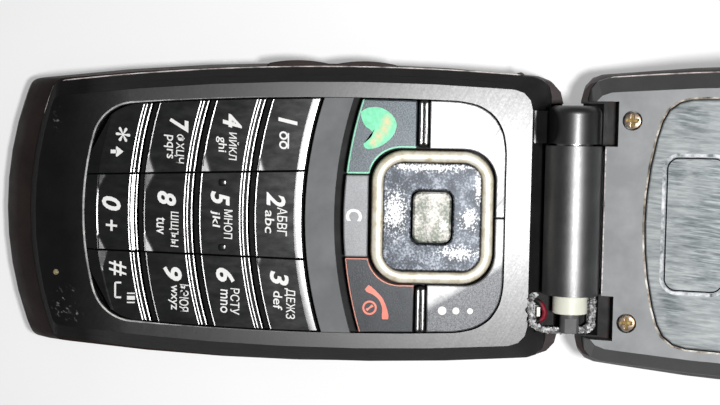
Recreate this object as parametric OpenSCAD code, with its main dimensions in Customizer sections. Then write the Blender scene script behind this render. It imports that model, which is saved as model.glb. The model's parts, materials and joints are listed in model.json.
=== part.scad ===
// Clamshell mobile phone, open and lying on its back, as an assembly of its separate pieces.
// Frame: origin at the centre of the keypad half's flat back, +X to the phone's right,
// +Y from the bottom end to the hinge, +Z out of the keypad. The lid is drawn shut and then opened.

/* [Overall] */
// Width across the widest part of the keypad half
body_w = 46.7; // [45:0.1:51]
// Hinge axis to the tip of the rounded bottom end
base_len = 87.5; // [86:0.5:92]
// Thickness of the keypad half
base_t = 10.4; // [10.2:0.1:12]
// Thickness of the lid
lid_t = 7.6; // [7.4:0.1:9]
// Gap between the two inner faces when the phone is shut
face_gap = 1.0; // [0.9:0.1:1.6]
// Angle between the two halves when fully open
open_angle = 160; // [140:1:170]

/* [Shells] */
// Depth of the front and inner covers at their edge
cover_depth = 2.5; // [2.2:0.1:3]
// Width of the slope along the sides of the covers
side_slope = 2.4; // [1.8:0.1:3]
// Length of the slope at the bottom end of the covers
end_slope = 1.3; // [1:0.1:2.4]
// How far the rear cover bulges past the front cover at the sides
side_bulge = 0.75; // [0.4:0.05:1.2]
// How far the outer shells stand out past the covers at the bottom end
nose_out = 5.2; // [4:0.1:6]
// Radius of the bowed sides
side_r = 360; // [300:10:600]
// Radius of the bowed bottom end
end_r = 54; // [48:1:80]
// Wall thickness of the shells
wall = 1.3; // [1:0.1:1.6]
// Thickness of the face around the keys
face_wall = 1.0; // [0.8:0.05:1.2]

/* [Keypad] */
// From the widest side to the keypad opening
pad_margin = 5.45; // [4.95:0.05:6.4]
// From the tip of the bottom end to the keypad opening
pad_end_gap = 13.8; // [12.5:0.1:15]
// Hinge axis to the upper edge of the keypad opening
pad_top_s = 9.95; // [9:0.05:10.5]
// Hinge axis to the upper edge of the first row of number keys
row_top_s = 40.5; // [40:0.1:42]
// Radius of the arched rows
row_r = 60; // [50:1:90]
// Half width of the middle column at its upper end
col_half = 6.7; // [6:0.1:7.4]
// Width of the grey strip above the number keys
strip_w = 4.6; // [4:0.1:5]
// Gap around each key
key_gap = 0.2; // [0.15:0.01:0.3]
// How far a key travels
key_travel = 0.3; // [0.2:0.01:0.35]
// Height of the number keys above the face
key_proud = 0.3; // [0.1:0.05:0.4]
// Height of the call and soft keys above the face
function_proud = 0.15; // [0:0.05:0.3]
// Width of the navigation key across the phone
nav_w = 20.2; // [18:0.1:21]
// Length of the navigation key along the phone
nav_l = 18.75; // [17:0.05:19.2]
// Hinge axis to the middle of the navigation key
nav_s = 21.1; // [20.9:0.05:21.5]
// Width of the bright rim of the navigation key
nav_rim = 1.9; // [1.4:0.1:2.4]
// Height of the navigation rim above the face
nav_proud = 0.65; // [0.4:0.05:0.7]
// Width of the select key across the phone
ok_w = 7.7; // [6:0.1:9]
// Length of the select key along the phone
ok_l = 5.8; // [5:0.1:7]
// Length of the volume rocker
volume_l = 19.4; // [16:0.2:22]
// Length of the socket cover
socket_l = 12.4; // [11:0.2:12.6]

/* [Hinge] */
// Radius of the barrel that belongs to the lid
barrel_r = 4.25; // [4:0.05:4.5]
// From the widest side to the outer end of the knuckles
knuckle_inset = 6.15; // [5.75:0.05:6.75]
// Radius of the knuckles on the keypad half
knuckle_r = 4.0; // [3.8:0.05:4.2]
// Length of each knuckle
knuckle_l = 5.7; // [5:0.1:6.5]
// Radius of the bore through the barrel
barrel_bore_r = 2.85; // [2.7:0.05:3]
// Radius of the steel hinge shaft
shaft_r = 1.45; // [1.3:0.05:1.6]
// Outer radius of the pale bush on the shaft
bush_r = 2.6; // [2.3:0.05:2.7]
// Length of the pale bush
bush_l = 2.6; // [2:0.1:3]
// Radial clearance of the turning fits
run_gap = 0.06; // [0.03:0.01:0.1]
// Side gap between the barrel and the knuckles
side_gap = 0.3; // [0.2:0.05:0.4]

/* [Lid] */
// From the widest side to the display lens
lens_margin = 4.85; // [4.55:0.05:6.4]
// Hinge axis to the near edge of the display lens
lens_near_s = 10.8; // [10.4:0.1:12]
// From the tip of the lid to the far edge of the display lens
lens_far_gap = 20.5; // [19:0.5:25]
// Thickness of the display lens
lens_t = 1.0; // [0.8:0.05:1.1]
// How far the lens lies below the inner face
lens_sink = 0.3; // [0.2:0.05:0.4]
// From the side of the lens to the display's viewing window
view_margin = 4.5; // [3.5:0.1:6]
// From the ends of the lens to the display's viewing window
view_end_gap = 10.1; // [9:0.1:12]
// Width of the outer window
outer_w = 24; // [20:0.5:28]
// Length of the outer window
outer_l = 18; // [14:0.5:20]
// From the widest side to the lid screws by the hinge
lid_screw_inset = 8.25; // [7.75:0.05:8.95]
// Hinge axis to the visible lid screws
lid_screw_s = 8.5; // [8.3:0.05:8.7]

/* [Inside] */
// Thickness of the battery cover
batt_cover_t = 1.0; // [0.8:0.05:1.1]
// From the widest side to the battery
batt_margin = 7.05; // [6.95:0.05:8.4]
// Thickness of the battery
batt_t = 3.9; // [3.5:0.1:4]
// Thickness of the circuit boards
board_t = 0.8; // [0.6:0.05:0.9]
// Radius of the loudspeaker
speaker_r = 6.5; // [5:0.1:7]
// Radius of the vibration motor
motor_r = 1.9; // [1.6:0.05:2]

/* [Hidden] */
$fa = 3;
$fs = 0.4;

// Small gap between pieces that are fixed to each other
seat = 0.06;
// Overcut that keeps cutting faces apart
cut = 0.5;

// Levels of the keypad half, counted down from the face and up from the back
face_z = base_t;
parting_z = face_z - cover_depth;
ceiling_z = face_z - face_wall;
cap_z = face_z - 1.8;
keymat_t = 0.3;
keymat_top = cap_z - key_travel - 0.05;
keymat_z = keymat_top - keymat_t;
dome_t = 0.1;
dome_h = 0.12;
board_top = keymat_z - 0.45;
board_z = board_top - board_t;
plunger_z = board_top + dome_t + dome_h + key_travel + 0.05;
batt_z = batt_cover_t + 0.1;
bay_top = batt_z + batt_t + 0.1;
floor_top = bay_top + 0.8;

// Hinge axis
hinge_y = base_len / 2;
hinge_z = face_z + face_gap;
barrel_gap = 0.4;
knuckle_half = body_w / 2 - knuckle_inset;
knuckle_in = knuckle_half - knuckle_l;
barrel_half = knuckle_in - side_gap;

// Covers and outer shells in plan
cover_hw = body_w / 2 - side_bulge;
wide_y = y_at(32);
cover_end_y = -hinge_y + nose_out;
flat_end_y = cover_end_y + end_slope;
nose_z = 1.8;
nose_tuck = 0;
side_tuck = 2.9;
cover_corner = 1.2;
hinge_corner = 3;
shell_side_r = 345;
shell_wide_y = y_at(36);
lid_bulge = side_bulge + 0.3;
shoulder_s = 3.0;
flat_top_s = 6.2;
cavity_top_s = 6.6;
rear_top_s = 1.2;

// Keypad opening
pad_hw = body_w / 2 - pad_margin;
pad_end_s = base_len - pad_end_gap;
row_pitch = (pad_end_s + 0.28 - row_top_s) / 4;
pad_side_r = 420;
pad_end_r = 46;
pad_corner = 6.5;
nav_corner = 4.6;
nav_gap = 0.3;
ok_corner = 1.2;
nav_y = y_at(nav_s);
cluster_s = row_top_s - strip_w - 1.4;
clear_hw = 6.3;
separator_s = 22.6;
separator_w = 1.6;
plunger_r = 1.1;
hole_r = 1.5;
row_tilt = 1 / 31.5;

// Lid levels, with the lid shut
lid_z = hinge_z;
lid_top = lid_z + lid_t;
lid_parting = lid_z + cover_depth;
plate_top = lid_z + 2.1;
lid_nose = lid_t - cover_depth - 2.4;
outer_wall = 1.2;
notch_s = 6.5;

// Bottom and hinge ends of the outer shells
hinge_round = 4;
lid_edge_s = 0.4;
lid_shoulder_s = 1.6;

// Battery bay, battery cover and its rails
bay_fit = 0.25;
pocket_top_s = cavity_top_s + 0.8;
pocket_end_s = pocket_top_s + 2 * speaker_r + 4;
contact_s = pocket_end_s + 1.2;
contact_l = 2.6;
bay_top_s = contact_s + contact_l;
bay_end_s = base_len - nose_out - end_slope - 5.1;
batt_w = body_w - 2 * batt_margin;
batt_l = bay_end_s - bay_top_s - 2 * bay_fit;
bay_hw = batt_w / 2 + bay_fit;
cover_fit = 0.15;
batt_cover_hw = bay_hw + 2.05;
batt_cover_top_s = bay_top_s - 1.8;
rail_x = bay_hw + 0.9;
rail_top_s = bay_top_s + 1.8;
rail_l = batt_l - 7.2;
contact_hw = 5;
contact_z = batt_cover_t + 0.9;
sim_w = 26;
sim_l = 16;
sim_s = bay_top_s + sim_l / 2 + 3.8;

// Pocket at the hinge end of the rear cover, with the loudspeaker and the motor
pocket_hw = body_w / 2 - 7.75;
pocket_z = 1.3;
speaker_x = pocket_hw - speaker_r - 1.5;
speaker_s = pocket_top_s + speaker_r + 2.1;
weight_l = 3;
motor_l = 2 * pocket_hw - 2 * speaker_r - weight_l - 7.2;
motor_x = pocket_hw - 2.1;
motor_z = pocket_z + motor_r + 0.1;
spindle_r = 0.4;
shield_w = batt_w - 3.6;
shield_l = batt_l - 17.2;
shield_s = bay_top_s + shield_l / 2 + 1.8;
antenna_w = batt_w - 6.6;
antenna_l = 8;
antenna_s = bay_end_s - antenna_l / 2 + 0.1;

// Screws
screw_r = 0.7;
head_r = 1.2;
head_h = 0.9;
boss_r = 1.4;
top_screw_x = body_w / 2 - 5.85;
top_screw_s = cavity_top_s + boss_r + 0.1;
end_screw_x = body_w / 2 - 8.85;
end_screw_y = flat_end_y + 3.5;
top_head_z = 0.4;
end_head_z = batt_cover_t + 0.4;
screw_tip = ceiling_z - 0.3;
lid_head_z = 0.5;
lid_screw_l = 4.6;

// Side keys and the socket behind its cover
side_in = cover_hw - wall - 0.4;
side_key_z = 5.5;
side_key_h = parting_z - 0.25 - side_key_z;
volume_s = 36.5;
volume_x = side_in + 0.7;
volume_bump = 0.5;
volume_pin_r = 0.5;
volume_pin_l = 0.8;
socket_s = 7.8;
socket_r = 0.6;
socket_x = side_in + 0.7;
data_l = 9.2;
data_s = socket_s + data_l / 2 + 2;
data_x0 = side_in - 4.5;

// Microphone by the bottom end
mic_x = pad_hw - 8.6;
mic_y = flat_end_y + 3.1;
mic_hole_r = 0.45;

// Keymat, navigation key and strip
keymat_lip = 0.6;
pusher_t = 0.4;
nav_z = cap_z + pusher_t + 0.4;
nav_sink = 0.2;
ok_proud = 0.4;
ok_stem_r = 1.3;
strip_proud = 0.1;

// Hinge details
knuckle_round = 1.3;
knuckle_wall = 0.8;
pin_out = knuckle_in + 1.6;
pin_in = barrel_half - 4.2;
pin_bore_r = 2;
flex_x0 = knuckle_in + 1.8;
flex_x1 = knuckle_half - knuckle_wall - 0.3;
lead_r = 0.42;
can_bore_r = 2.2;
web_hw = barrel_half - 0.8;
web_end_s = 9.4;
web_top = lid_z + 3.9;
lid_flex_x1 = pin_in - 0.6;
lid_flex_x0 = lid_flex_x1 - 4.2;
can_x0 = 1.4 - lid_flex_x0;
notch_hw = (knuckle_half + 0.7 - barrel_half) / 2;

// Lid details
lens_far_s = base_len - lens_far_gap;
lens_w = body_w - 2 * lens_margin;
view_w = lens_w - 2 * view_margin;
view_l = lens_far_s - lens_near_s - 2 * view_end_gap;
view_s = (lens_near_s + lens_far_s) / 2 + 3;
lid_screw_x = body_w / 2 - lid_screw_inset;
earpiece_w = 11;
earpiece_l = 6;
earpiece_s = lens_far_s + earpiece_l / 2 + 4;
bumper_x = body_w / 2 - 9.15;
bumper_y = flat_end_y + 2.6;
bumper_w = 4.4;
bumper_l = 2.2;
outer_lens_t = 0.75;
outer_s = view_s - 5.9;
lens_end_r = 55;
lid_board_hw = body_w / 2 - 8.35;
lid_board_s0 = web_end_s + 1.6;
lid_board_s1 = view_s - view_l / 2 - 4.2;
ribbon_t = 0.2;

// A place at distance s from the hinge axis towards the bottom end
function y_at(s) = hinge_y - s;
function unit(v) = v / norm(v);

// Points that round the corner b between a and c
function fillet(a, b, c, r, n) =
  let (u = unit(a - b), v = unit(c - b), half = acos(u * v) / 2)
  let (mid = b + unit(u + v) * r / sin(half), t = r / tan(half))
  let (p = b + u * t - mid, q = b + v * t - mid)
  let (start = atan2(p.y, p.x), turn = atan2(p.x * q.y - p.y * q.x, p * q))
  [for (i = [0:n]) mid + r * [cos(start + turn * i / n), sin(start + turn * i / n)]];

// Depth of a circular bow of radius r at distance d from its middle
function bow(r, d) = r - sqrt(r * r - d * d);

// Plan outline with bowed sides and ends: half width, end y, top y, corner radii,
// radius of the sides, of the end and of the top, y of the widest place; from the end's middle
function plan(hw, ye, yt, rc, rt, rs, re, rtop, wy = wide_y) =
  let (bx = hw - bow(rs, ye + bow(re, hw) - wy), by = ye + bow(re, bx))
  let (cx = hw - bow(rs, by - wy), k = 1.25)
  let (tx = hw - bow(rs, yt - bow(rtop, hw) - wy), ty = yt - bow(rtop, tx))
  let (a = [cx - k * rc, ye + bow(re, cx - k * rc)], b = [cx, by])
  let (c = [hw - bow(rs, by + k * rc - wy), by + k * rc])
  let (d = [hw - bow(rs, ty - k * rt - wy), ty - k * rt], e = [tx, ty])
  let (f = [tx - k * rt, yt - bow(rtop, tx - k * rt)])
  let (half = concat(
    [for (i = [0:4]) let (x = a.x * i / 4) [x, ye + bow(re, x)]],
    fillet(a, b, c, rc, 4),
    [for (i = [0:6]) let (y = c.y + (d.y - c.y) * i / 6) [hw - bow(rs, y - wy), y]],
    fillet(d, e, f, rt, 3),
    [for (i = [0:2]) let (x = f.x * (1 - i / 3)) [x, yt - bow(rtop, x)]]))
  concat(half, [[0, yt]], [for (i = [len(half) - 1:-1:1]) [-half[i].x, half[i].y]]);

function straight() = 1e5;
function at_z(points, z) = [for (p = points) [p.x, p.y, z]];

// A solid skin over rings of points that go up one above the other
module loft(rings) {
  n = len(rings[0]);
  top = (len(rings) - 1) * n;
  sides = [for (j = [0:len(rings) - 2], i = [0:n - 1])
    let (a = j * n + i, b = j * n + (i + 1) % n)
    each [[a, a + n, b + n], [a, b + n, b]]];
  polyhedron(points = [for (ring = rings) each ring],
    faces = concat([[for (i = [0:n - 1]) i]], sides, [[for (i = [n - 1:-1:0]) top + i]]));
}

// A tube with flat ends swept along points
module tube(path, r, sides) {
  rings = [for (i = [0:len(path) - 1])
    let (t = unit(path[min(i + 1, len(path) - 1)] - path[max(i - 1, 0)]))
    let (u = unit(cross(t, [0.3, 0.2, 0.93])), v = cross(t, u))
    [for (k = [0:sides - 1]) path[i] + r * (cos(360 * k / sides) * u + sin(360 * k / sides) * v)]];
  loft(rings);
}

// A straight cylinder along X between two places
module rod(r, x0, x1) {
  translate([x0, hinge_y, hinge_z]) rotate([0, 90, 0]) cylinder(r = r, h = x1 - x0, $fn = 64);
}

// A block between two corners
module block(a, b) {
  translate(a) cube(b - a);
}

// A flat rectangle with round corners
module rounded(w, l, r) {
  square([w - 2 * r, l], center = true);
  square([w, l - 2 * r], center = true);
  for (x = [-1, 1], y = [-1, 1]) translate([x * (w / 2 - r), y * (l / 2 - r)]) circle(r, $fn = 48);
}

module slab(w, l, r, z0, z1, s) {
  translate([0, y_at(s), z0]) linear_extrude(z1 - z0) rounded(w, l, r);
}

module prism(points, z0, z1) {
  translate([0, 0, z0]) linear_extrude(z1 - z0) polygon(points);
}

// Opens the lid from its shut place
module opened() {
  translate([0, hinge_y, hinge_z]) rotate([-open_angle, 0, 0])
    translate([0, -hinge_y, -hinge_z]) children();
}

// Outline of the covers at a share of the slope, from 0 at the edge to 1 at the flat face
function cover_plan(k) = plan(cover_hw - side_slope * k, cover_end_y + end_slope * k,
  y_at(shoulder_s + (flat_top_s - shoulder_s) * k), cover_corner, hinge_corner, side_r, end_r, straight());

function inner_plan(e, top_s) = plan(cover_hw - e, cover_end_y + e, y_at(top_s), cover_corner, 2,
  side_r, end_r, straight());

function pad_plan(e) = plan(pad_hw - e, y_at(pad_end_s) + e, y_at(pad_top_s) - e, pad_corner, pad_corner,
  pad_side_r, pad_end_r, straight());

// How far a shell stands out past the covers at height z above its outer face
function shell_out(z, top, nose, bulge, tuck) = z > nose
  ? bulge * sin(90 * (top - z) / (top - nose))
  : bulge - (bulge + tuck) * (1 - sqrt(max(0, 1 - pow((nose - z) / nose, 2))));

function shell_plan(z, top, nose, top_s, bulge, corner) = plan(
  cover_hw + shell_out(z, top, nose, bulge, side_tuck),
  cover_end_y - shell_out(z, top, nose, nose_out, nose_tuck),
  y_at(top_s - hinge_round * shell_out(z, top, nose, 0, 1)),
  cover_corner + 0.6, corner, shell_side_r, end_r, straight(), shell_wide_y);

// Heights of the rings of a shell above its outer face
function shell_levels(top, nose) = concat(
  [for (a = [0:30:90]) nose * (1 - cos(a))],
  [for (k = [1:3]) nose + (top - nose) * k / 3]);

module rear_skin() {
  top = parting_z - seat;
  loft([for (z = shell_levels(top, nose_z))
    at_z(shell_plan(z, top, nose_z, rear_top_s, side_bulge, hinge_corner + 0.6), z)]);
}

// Rings of a cover from its flat face to its edge, as heights below the face and shares of the slope
cover_rings = [[0, 1], [0.15, 0.93], [cover_depth - 0.4, 0.05], [cover_depth, 0]];

// Round holes or posts at the four screw places of the keypad half
module at_base_screws() {
  for (x = [-1, 1]) {
    translate([x * top_screw_x, y_at(top_screw_s), 0]) children(0);
    translate([x * end_screw_x, end_screw_y, 0]) children(1);
  }
}

module at_lid_screws() {
  for (x = [-1, 1]) {
    translate([x * lid_screw_x, y_at(lid_screw_s), lid_z]) children();
    translate([x * bumper_x, bumper_y, lid_z]) children();
  }
}

module post(r, z0, z1) {
  translate([0, 0, z0]) cylinder(r = r, h = z1 - z0, $fn = 32);
}

// Room for the lid's barrel, and for the knuckles beside it
module barrel_room(half) {
  rod(barrel_r + barrel_gap, -half, half);
}

// A knuckle with a rounded outer end, on the left
module knuckle() {
  length = knuckle_half - knuckle_in;
  translate([-knuckle_in, hinge_y, hinge_z]) rotate([0, -90, 0]) rotate_extrude($fn = 64) {
    square([knuckle_r - knuckle_round, length]);
    square([knuckle_r, length - knuckle_round]);
    translate([knuckle_r - knuckle_round, length - knuckle_round]) circle(knuckle_round, $fn = 48);
  }
  translate([-knuckle_half + knuckle_wall, 0, 0]) rotate([90, 0, 90])
    linear_extrude(length - knuckle_wall) polygon([[y_at(0.3), parting_z], [y_at(0), hinge_z],
      [y_at(knuckle_r - 0.1), hinge_z - 0.6], [y_at(5.6), face_z - 0.2],
      [y_at(cavity_top_s + 0.3), face_z - 0.3], [y_at(cavity_top_s + 0.3), parting_z]]);
}

// The upper part of the right-hand knuckle has broken away, down to a jagged rim
module break_out() {
  rod(knuckle_r - knuckle_wall, knuckle_in - cut, knuckle_half - knuckle_wall);
  rod(shaft_r + seat, knuckle_in, knuckle_half + cut);
  in = knuckle_in - 0.2;
  out = knuckle_half - knuckle_wall;
  step = (out - in) / 6;
  jag = [5.4, 6.4, 5.9, 6.7, 6.1, 6.6, 5.5];
  prism(concat([[in, y_at(-2.8)]], [for (i = [0:6]) [in + i * step, y_at(jag[i])]], [[out, y_at(-2.8)]]),
    parting_z + 1, hinge_z + 2 * knuckle_r);
  rim = [-0.7, -0.2, -0.9, -0.3, -1.0, -0.1, -0.6, 0];
  far = knuckle_half + cut;
  translate([0, y_at(cavity_top_s - 0.8), 0]) rotate([90, 0, 0]) mirror([0, 0, 1])
    linear_extrude(4 * knuckle_r) polygon(concat([[in, hinge_z + 2 * knuckle_r]],
      [for (i = [0:7]) [in + (far - in) * i / 7, hinge_z + rim[i]]], [[far, hinge_z + 2 * knuckle_r]]));
}

module front_cover() {
  color([0.17, 0.18, 0.19]) difference() {
    union() {
      difference() {
        loft([for (i = [3:-1:0]) at_z(cover_plan(cover_rings[i][1]), face_z - cover_rings[i][0])]);
        prism(inner_plan(wall, cavity_top_s), parting_z - cut, ceiling_z);
      }
      knuckle();
      mirror([1, 0, 0]) knuckle();
      at_base_screws() {
        post(boss_r, floor_top + seat, ceiling_z + 0.2);
        post(boss_r, floor_top + seat, ceiling_z + 0.2);
      }
    }
    barrel_room(knuckle_in);
    rod(barrel_bore_r, -knuckle_half + knuckle_wall, -knuckle_in + cut);
    block([-flex_x1 - 0.3, y_at(cavity_top_s + cut), parting_z - cut],
      [-flex_x0 + 0.3, y_at(0.6), parting_z + 0.7]);
    block([-flex_x1 - 0.3, y_at(2.1), parting_z], [-flex_x0 + 0.3, y_at(0.6), hinge_z]);
    break_out();
    prism(pad_plan(0), parting_z - cut, face_z + cut);
    translate([mic_x, mic_y, 0]) post(mic_hole_r, ceiling_z - cut, face_z + cut);
    at_base_screws() {
      post(screw_r + seat, parting_z - 3, screw_tip);
      post(screw_r + seat, parting_z - 3, screw_tip);
    }
  }
}

module rear_cover() {
  color([0.15, 0.125, 0.125]) difference() {
    rear_skin();
    prism(inner_plan(wall, cavity_top_s), floor_top, parting_z + cut);
    block([-pocket_hw, y_at(pocket_end_s), pocket_z], [pocket_hw, y_at(pocket_top_s), floor_top + cut]);
    block([-bay_hw, y_at(bay_end_s), -cut], [bay_hw, y_at(bay_top_s), bay_top]);
    block([-batt_cover_hw - cover_fit, -hinge_y - 10, -cut],
      [batt_cover_hw + cover_fit, y_at(batt_cover_top_s) + cover_fit, batt_cover_t + cover_fit]);
    for (x = [-1, 1]) translate([x * rail_x, 0, batt_cover_t]) rail(cover_fit, base_len, cover_fit);
    slab(sim_w + 0.3, sim_l + 0.3, 0.7, bay_top - cut, floor_top + cut, sim_s);
    block([-contact_hw - 0.15, y_at(bay_top_s + cut), contact_z - 0.15],
      [contact_hw + 0.15, y_at(contact_s) + 0.15, bay_top - 0.05]);
    side_slot(volume_s - volume_l / 2 - 0.35, volume_s + volume_l / 2 + 0.35);
    translate([-volume_x, y_at(volume_s), 0])
      post(volume_pin_r + run_gap, side_key_z - volume_pin_l - 0.15, side_key_z);
    side_slot(socket_s - socket_r - 0.25, socket_s + socket_l - socket_r + 0.15);
    for (i = [-2:2]) translate([speaker_x + i * 2, y_at(speaker_s), 0])
      translate([0, 0, -cut]) linear_extrude(pocket_z + 2 * cut) rounded(0.9, 8 - abs(i), 0.44);
    at_base_screws() {
      union() {
        post(screw_r + 0.15, -cut, floor_top + cut);
        post(head_r + 0.1, -cut, top_head_z + head_h + 0.05);
      }
      union() {
        post(screw_r + 0.15, -cut, floor_top + cut);
        post(head_r + 0.1, -cut, end_head_z + head_h + 0.05);
      }
    }
    barrel_room(knuckle_half + side_gap);
  }
}

// A gap in the left wall of the rear cover for a side key, open towards the front cover
module side_slot(s0, s1) {
  block([-body_w / 2 - 1, y_at(s1), side_key_z - 0.2], [-side_in, y_at(s0), parting_z + cut]);
}

// A dovetail rail along the battery cover
module rail(gap, length, drop) {
  translate([0, y_at(rail_top_s) + gap, -drop]) rotate([90, 0, 0]) linear_extrude(length)
    polygon([[-0.4 - gap, 0], [0.4 + gap, 0], [0.65 + gap, 1 + drop + gap], [-0.65 - gap, 1 + drop + gap]]);
}

module battery_cover() {
  color([0.16, 0.135, 0.135]) {
    intersection() {
      rear_skin();
      block([-batt_cover_hw, -hinge_y - 10, -cut], [batt_cover_hw, y_at(batt_cover_top_s), batt_cover_t]);
    }
    for (x = [-1, 1]) translate([x * rail_x, 0, batt_cover_t]) rail(0, rail_l, 0.2);
  }
}

module battery() {
  color([0.35, 0.36, 0.38])
    slab(batt_w, batt_l, 1.2, batt_z, batt_z + batt_t, bay_top_s + bay_fit + batt_l / 2);
}

module battery_contacts() {
  color([0.8, 0.65, 0.3]) {
    block([-contact_hw, y_at(bay_top_s - 0.1), contact_z], [contact_hw, y_at(contact_s), bay_top - 0.2]);
    for (i = [-1:1]) translate([i * 3.2, 0, 0])
      block([-0.6, y_at(bay_top_s + 0.2), contact_z + 0.6], [0.6, y_at(bay_top_s - 0.3), contact_z + 1.8]);
  }
}

module sim_holder() {
  color([0.75, 0.76, 0.78]) difference() {
    slab(sim_w, sim_l, 0.6, bay_top + 0.1, floor_top - seat, sim_s);
    slab(sim_w - 2, sim_l - 2, 0.6, bay_top - cut, bay_top + 0.4, sim_s);
  }
}

module main_board() {
  color([0.1, 0.35, 0.2]) difference() {
    prism(inner_plan(wall + 0.7, cavity_top_s + 0.8), board_z, board_top);
    at_base_screws() {
      post(boss_r + 0.25, board_z - cut, board_top + cut);
      post(boss_r + 0.25, board_z - cut, board_top + cut);
    }
    block([-body_w / 2, y_at(data_s + data_l / 2 + 0.25), board_z - cut],
      [-data_x0 + 0.25, y_at(cavity_top_s - 1), board_top + cut]);
  }
}

module rf_shield() {
  color([0.7, 0.71, 0.73]) difference() {
    slab(shield_w, shield_l, 1, floor_top + seat, board_z - seat, shield_s);
    slab(shield_w - 0.4, shield_l - 0.4, 0.8, floor_top + seat + 0.2, board_z, shield_s);
  }
}

module microphone() {
  color([0.72, 0.6, 0.45]) translate([mic_x, mic_y, 0]) post(2, board_top + seat, ceiling_z - seat);
}

module loudspeaker() {
  color([0.3, 0.3, 0.32]) translate([speaker_x, y_at(speaker_s), 0]) {
    post(speaker_r, pocket_z + 0.1, pocket_z + 2.4);
    post(speaker_r * 0.6, pocket_z + 2.3, pocket_z + 3.2);
  }
}

module vibration_motor() {
  color([0.78, 0.78, 0.8]) translate([-motor_x, y_at(speaker_s), motor_z]) rotate([0, 90, 0]) difference() {
    cylinder(r = motor_r, h = motor_l, $fn = 48);
    translate([0, 0, motor_l - 2]) cylinder(r = spindle_r + run_gap, h = 3, $fn = 24);
  }
}

module vibration_weight() {
  color([0.6, 0.6, 0.62]) translate([-motor_x + motor_l, y_at(speaker_s), motor_z]) rotate([0, 90, 0]) {
    translate([0, 0, -1.6]) cylinder(r = spindle_r, h = weight_l + 2, $fn = 24);
    translate([0, 0, 0.4]) intersection() {
      cylinder(r = motor_r - 0.1, h = weight_l, $fn = 48);
      translate([-0.6, -2 * motor_r, 0]) cube([4 * motor_r, 4 * motor_r, weight_l]);
    }
  }
}

module data_connector() {
  color([0.7, 0.7, 0.72]) difference() {
    block([-side_in + 0.4, y_at(data_s + data_l / 2), floor_top + seat],
      [-data_x0, y_at(data_s - data_l / 2), board_top]);
    block([-side_in - cut, y_at(data_s + data_l / 2 - 0.6), floor_top + 0.4],
      [-data_x0 - 1.2, y_at(data_s - data_l / 2 + 0.6), board_top - 0.4]);
  }
}

module antenna() {
  color([0.75, 0.6, 0.35]) difference() {
    slab(antenna_w, antenna_l, 1, floor_top + seat, board_z - seat, antenna_s);
    slab(antenna_w - 4, antenna_l - 4, 0.5, floor_top - cut, board_z + cut, antenna_s);
  }
}

module base_screws() {
  color([0.75, 0.75, 0.77]) at_base_screws() {
    union() {
      post(screw_r, top_head_z, screw_tip - 0.1);
      post(head_r, top_head_z, top_head_z + head_h);
    }
    union() {
      post(screw_r, end_head_z, screw_tip - 0.1);
      post(head_r, end_head_z, end_head_z + head_h);
    }
  }
}

// One half of a crescent band between two arched rows
module above_row(s) {
  translate([0, y_at(s) + row_r]) circle(row_r, $fn = 360);
}

module keypad_strip() {
  color([0.45, 0.45, 0.47]) translate([0, 0, keymat_top + seat])
    linear_extrude(face_z + strip_proud - keymat_top - seat)
    difference() {
      intersection() {
        polygon(pad_plan(seat));
        above_row(row_top_s - key_gap);
      }
      above_row(row_top_s - strip_w);
    }
}

module key_separators() {
  x0 = nav_w / 2 + nav_gap + 0.1;
  x1 = pad_hw - bow(pad_side_r, y_at(separator_s) - wide_y) - seat;
  color([0.6, 0.6, 0.62]) for (x = [-1, 1])
    translate([x * (x0 + x1) / 2, y_at(separator_s), keymat_top + seat])
      linear_extrude(face_z + function_proud + 0.1 - keymat_top - seat) rounded(x1 - x0, separator_w, 0.7);
}

// Middle of each key's plunger: number keys, call and soft keys, navigation pads and select key
function row_s(i) = row_top_s + i * row_pitch;
function row_y(i, x) = y_at(row_s(i)) + bow(row_r, x);
function col_x(y) = col_half + row_tilt * (y - y_at(row_top_s));
number_x = (pad_hw + col_half) / 2 - 0.5;
number_xs = [-number_x, 0, number_x];
number_spots = [for (r = [0:3], c = [0:2])
  [number_xs[c] * (r == 3 ? 0.9 : 1), row_y(r + 0.5, number_xs[c]) + (r == 3 ? 0.5 : 0)]];
side_key_x = (pad_hw + nav_w / 2 + nav_gap) / 2 - 0.7;
send_spot = [-side_key_x, y_at(27.2)];
clear_spot = [0, y_at(cluster_s - 1.75)];
soft_spot = [-side_key_x, y_at(16)];
function_spots = [send_spot, [-send_spot.x, send_spot.y], clear_spot, soft_spot,
  [-soft_spot.x, soft_spot.y]];
nav_spots = [for (a = [0:90:270]) [6.3 * cos(a), nav_y + 6.3 * sin(a)]];
key_spots = concat(number_spots, function_spots, nav_spots, [[0, nav_y]]);

module keymat() {
  color([0.85, 0.85, 0.82]) difference() {
    prism(pad_plan(-keymat_lip), keymat_z, ceiling_z - seat);
    prism(pad_plan(-keymat_lip + 0.5), keymat_top, ceiling_z + cut);
    for (p = key_spots) translate(p) post(hole_r, keymat_z - cut, keymat_top + cut);
  }
}

module dome_sheet() {
  color([0.8, 0.8, 0.82]) {
    prism(pad_plan(-keymat_lip), board_top + 0.01, board_top + dome_t);
    for (p = key_spots) translate([p.x, p.y, board_top + dome_t / 2])
      cylinder(r1 = 1.9, r2 = 1.1, h = dome_t / 2 + dome_h, $fn = 24);
  }
}

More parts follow.
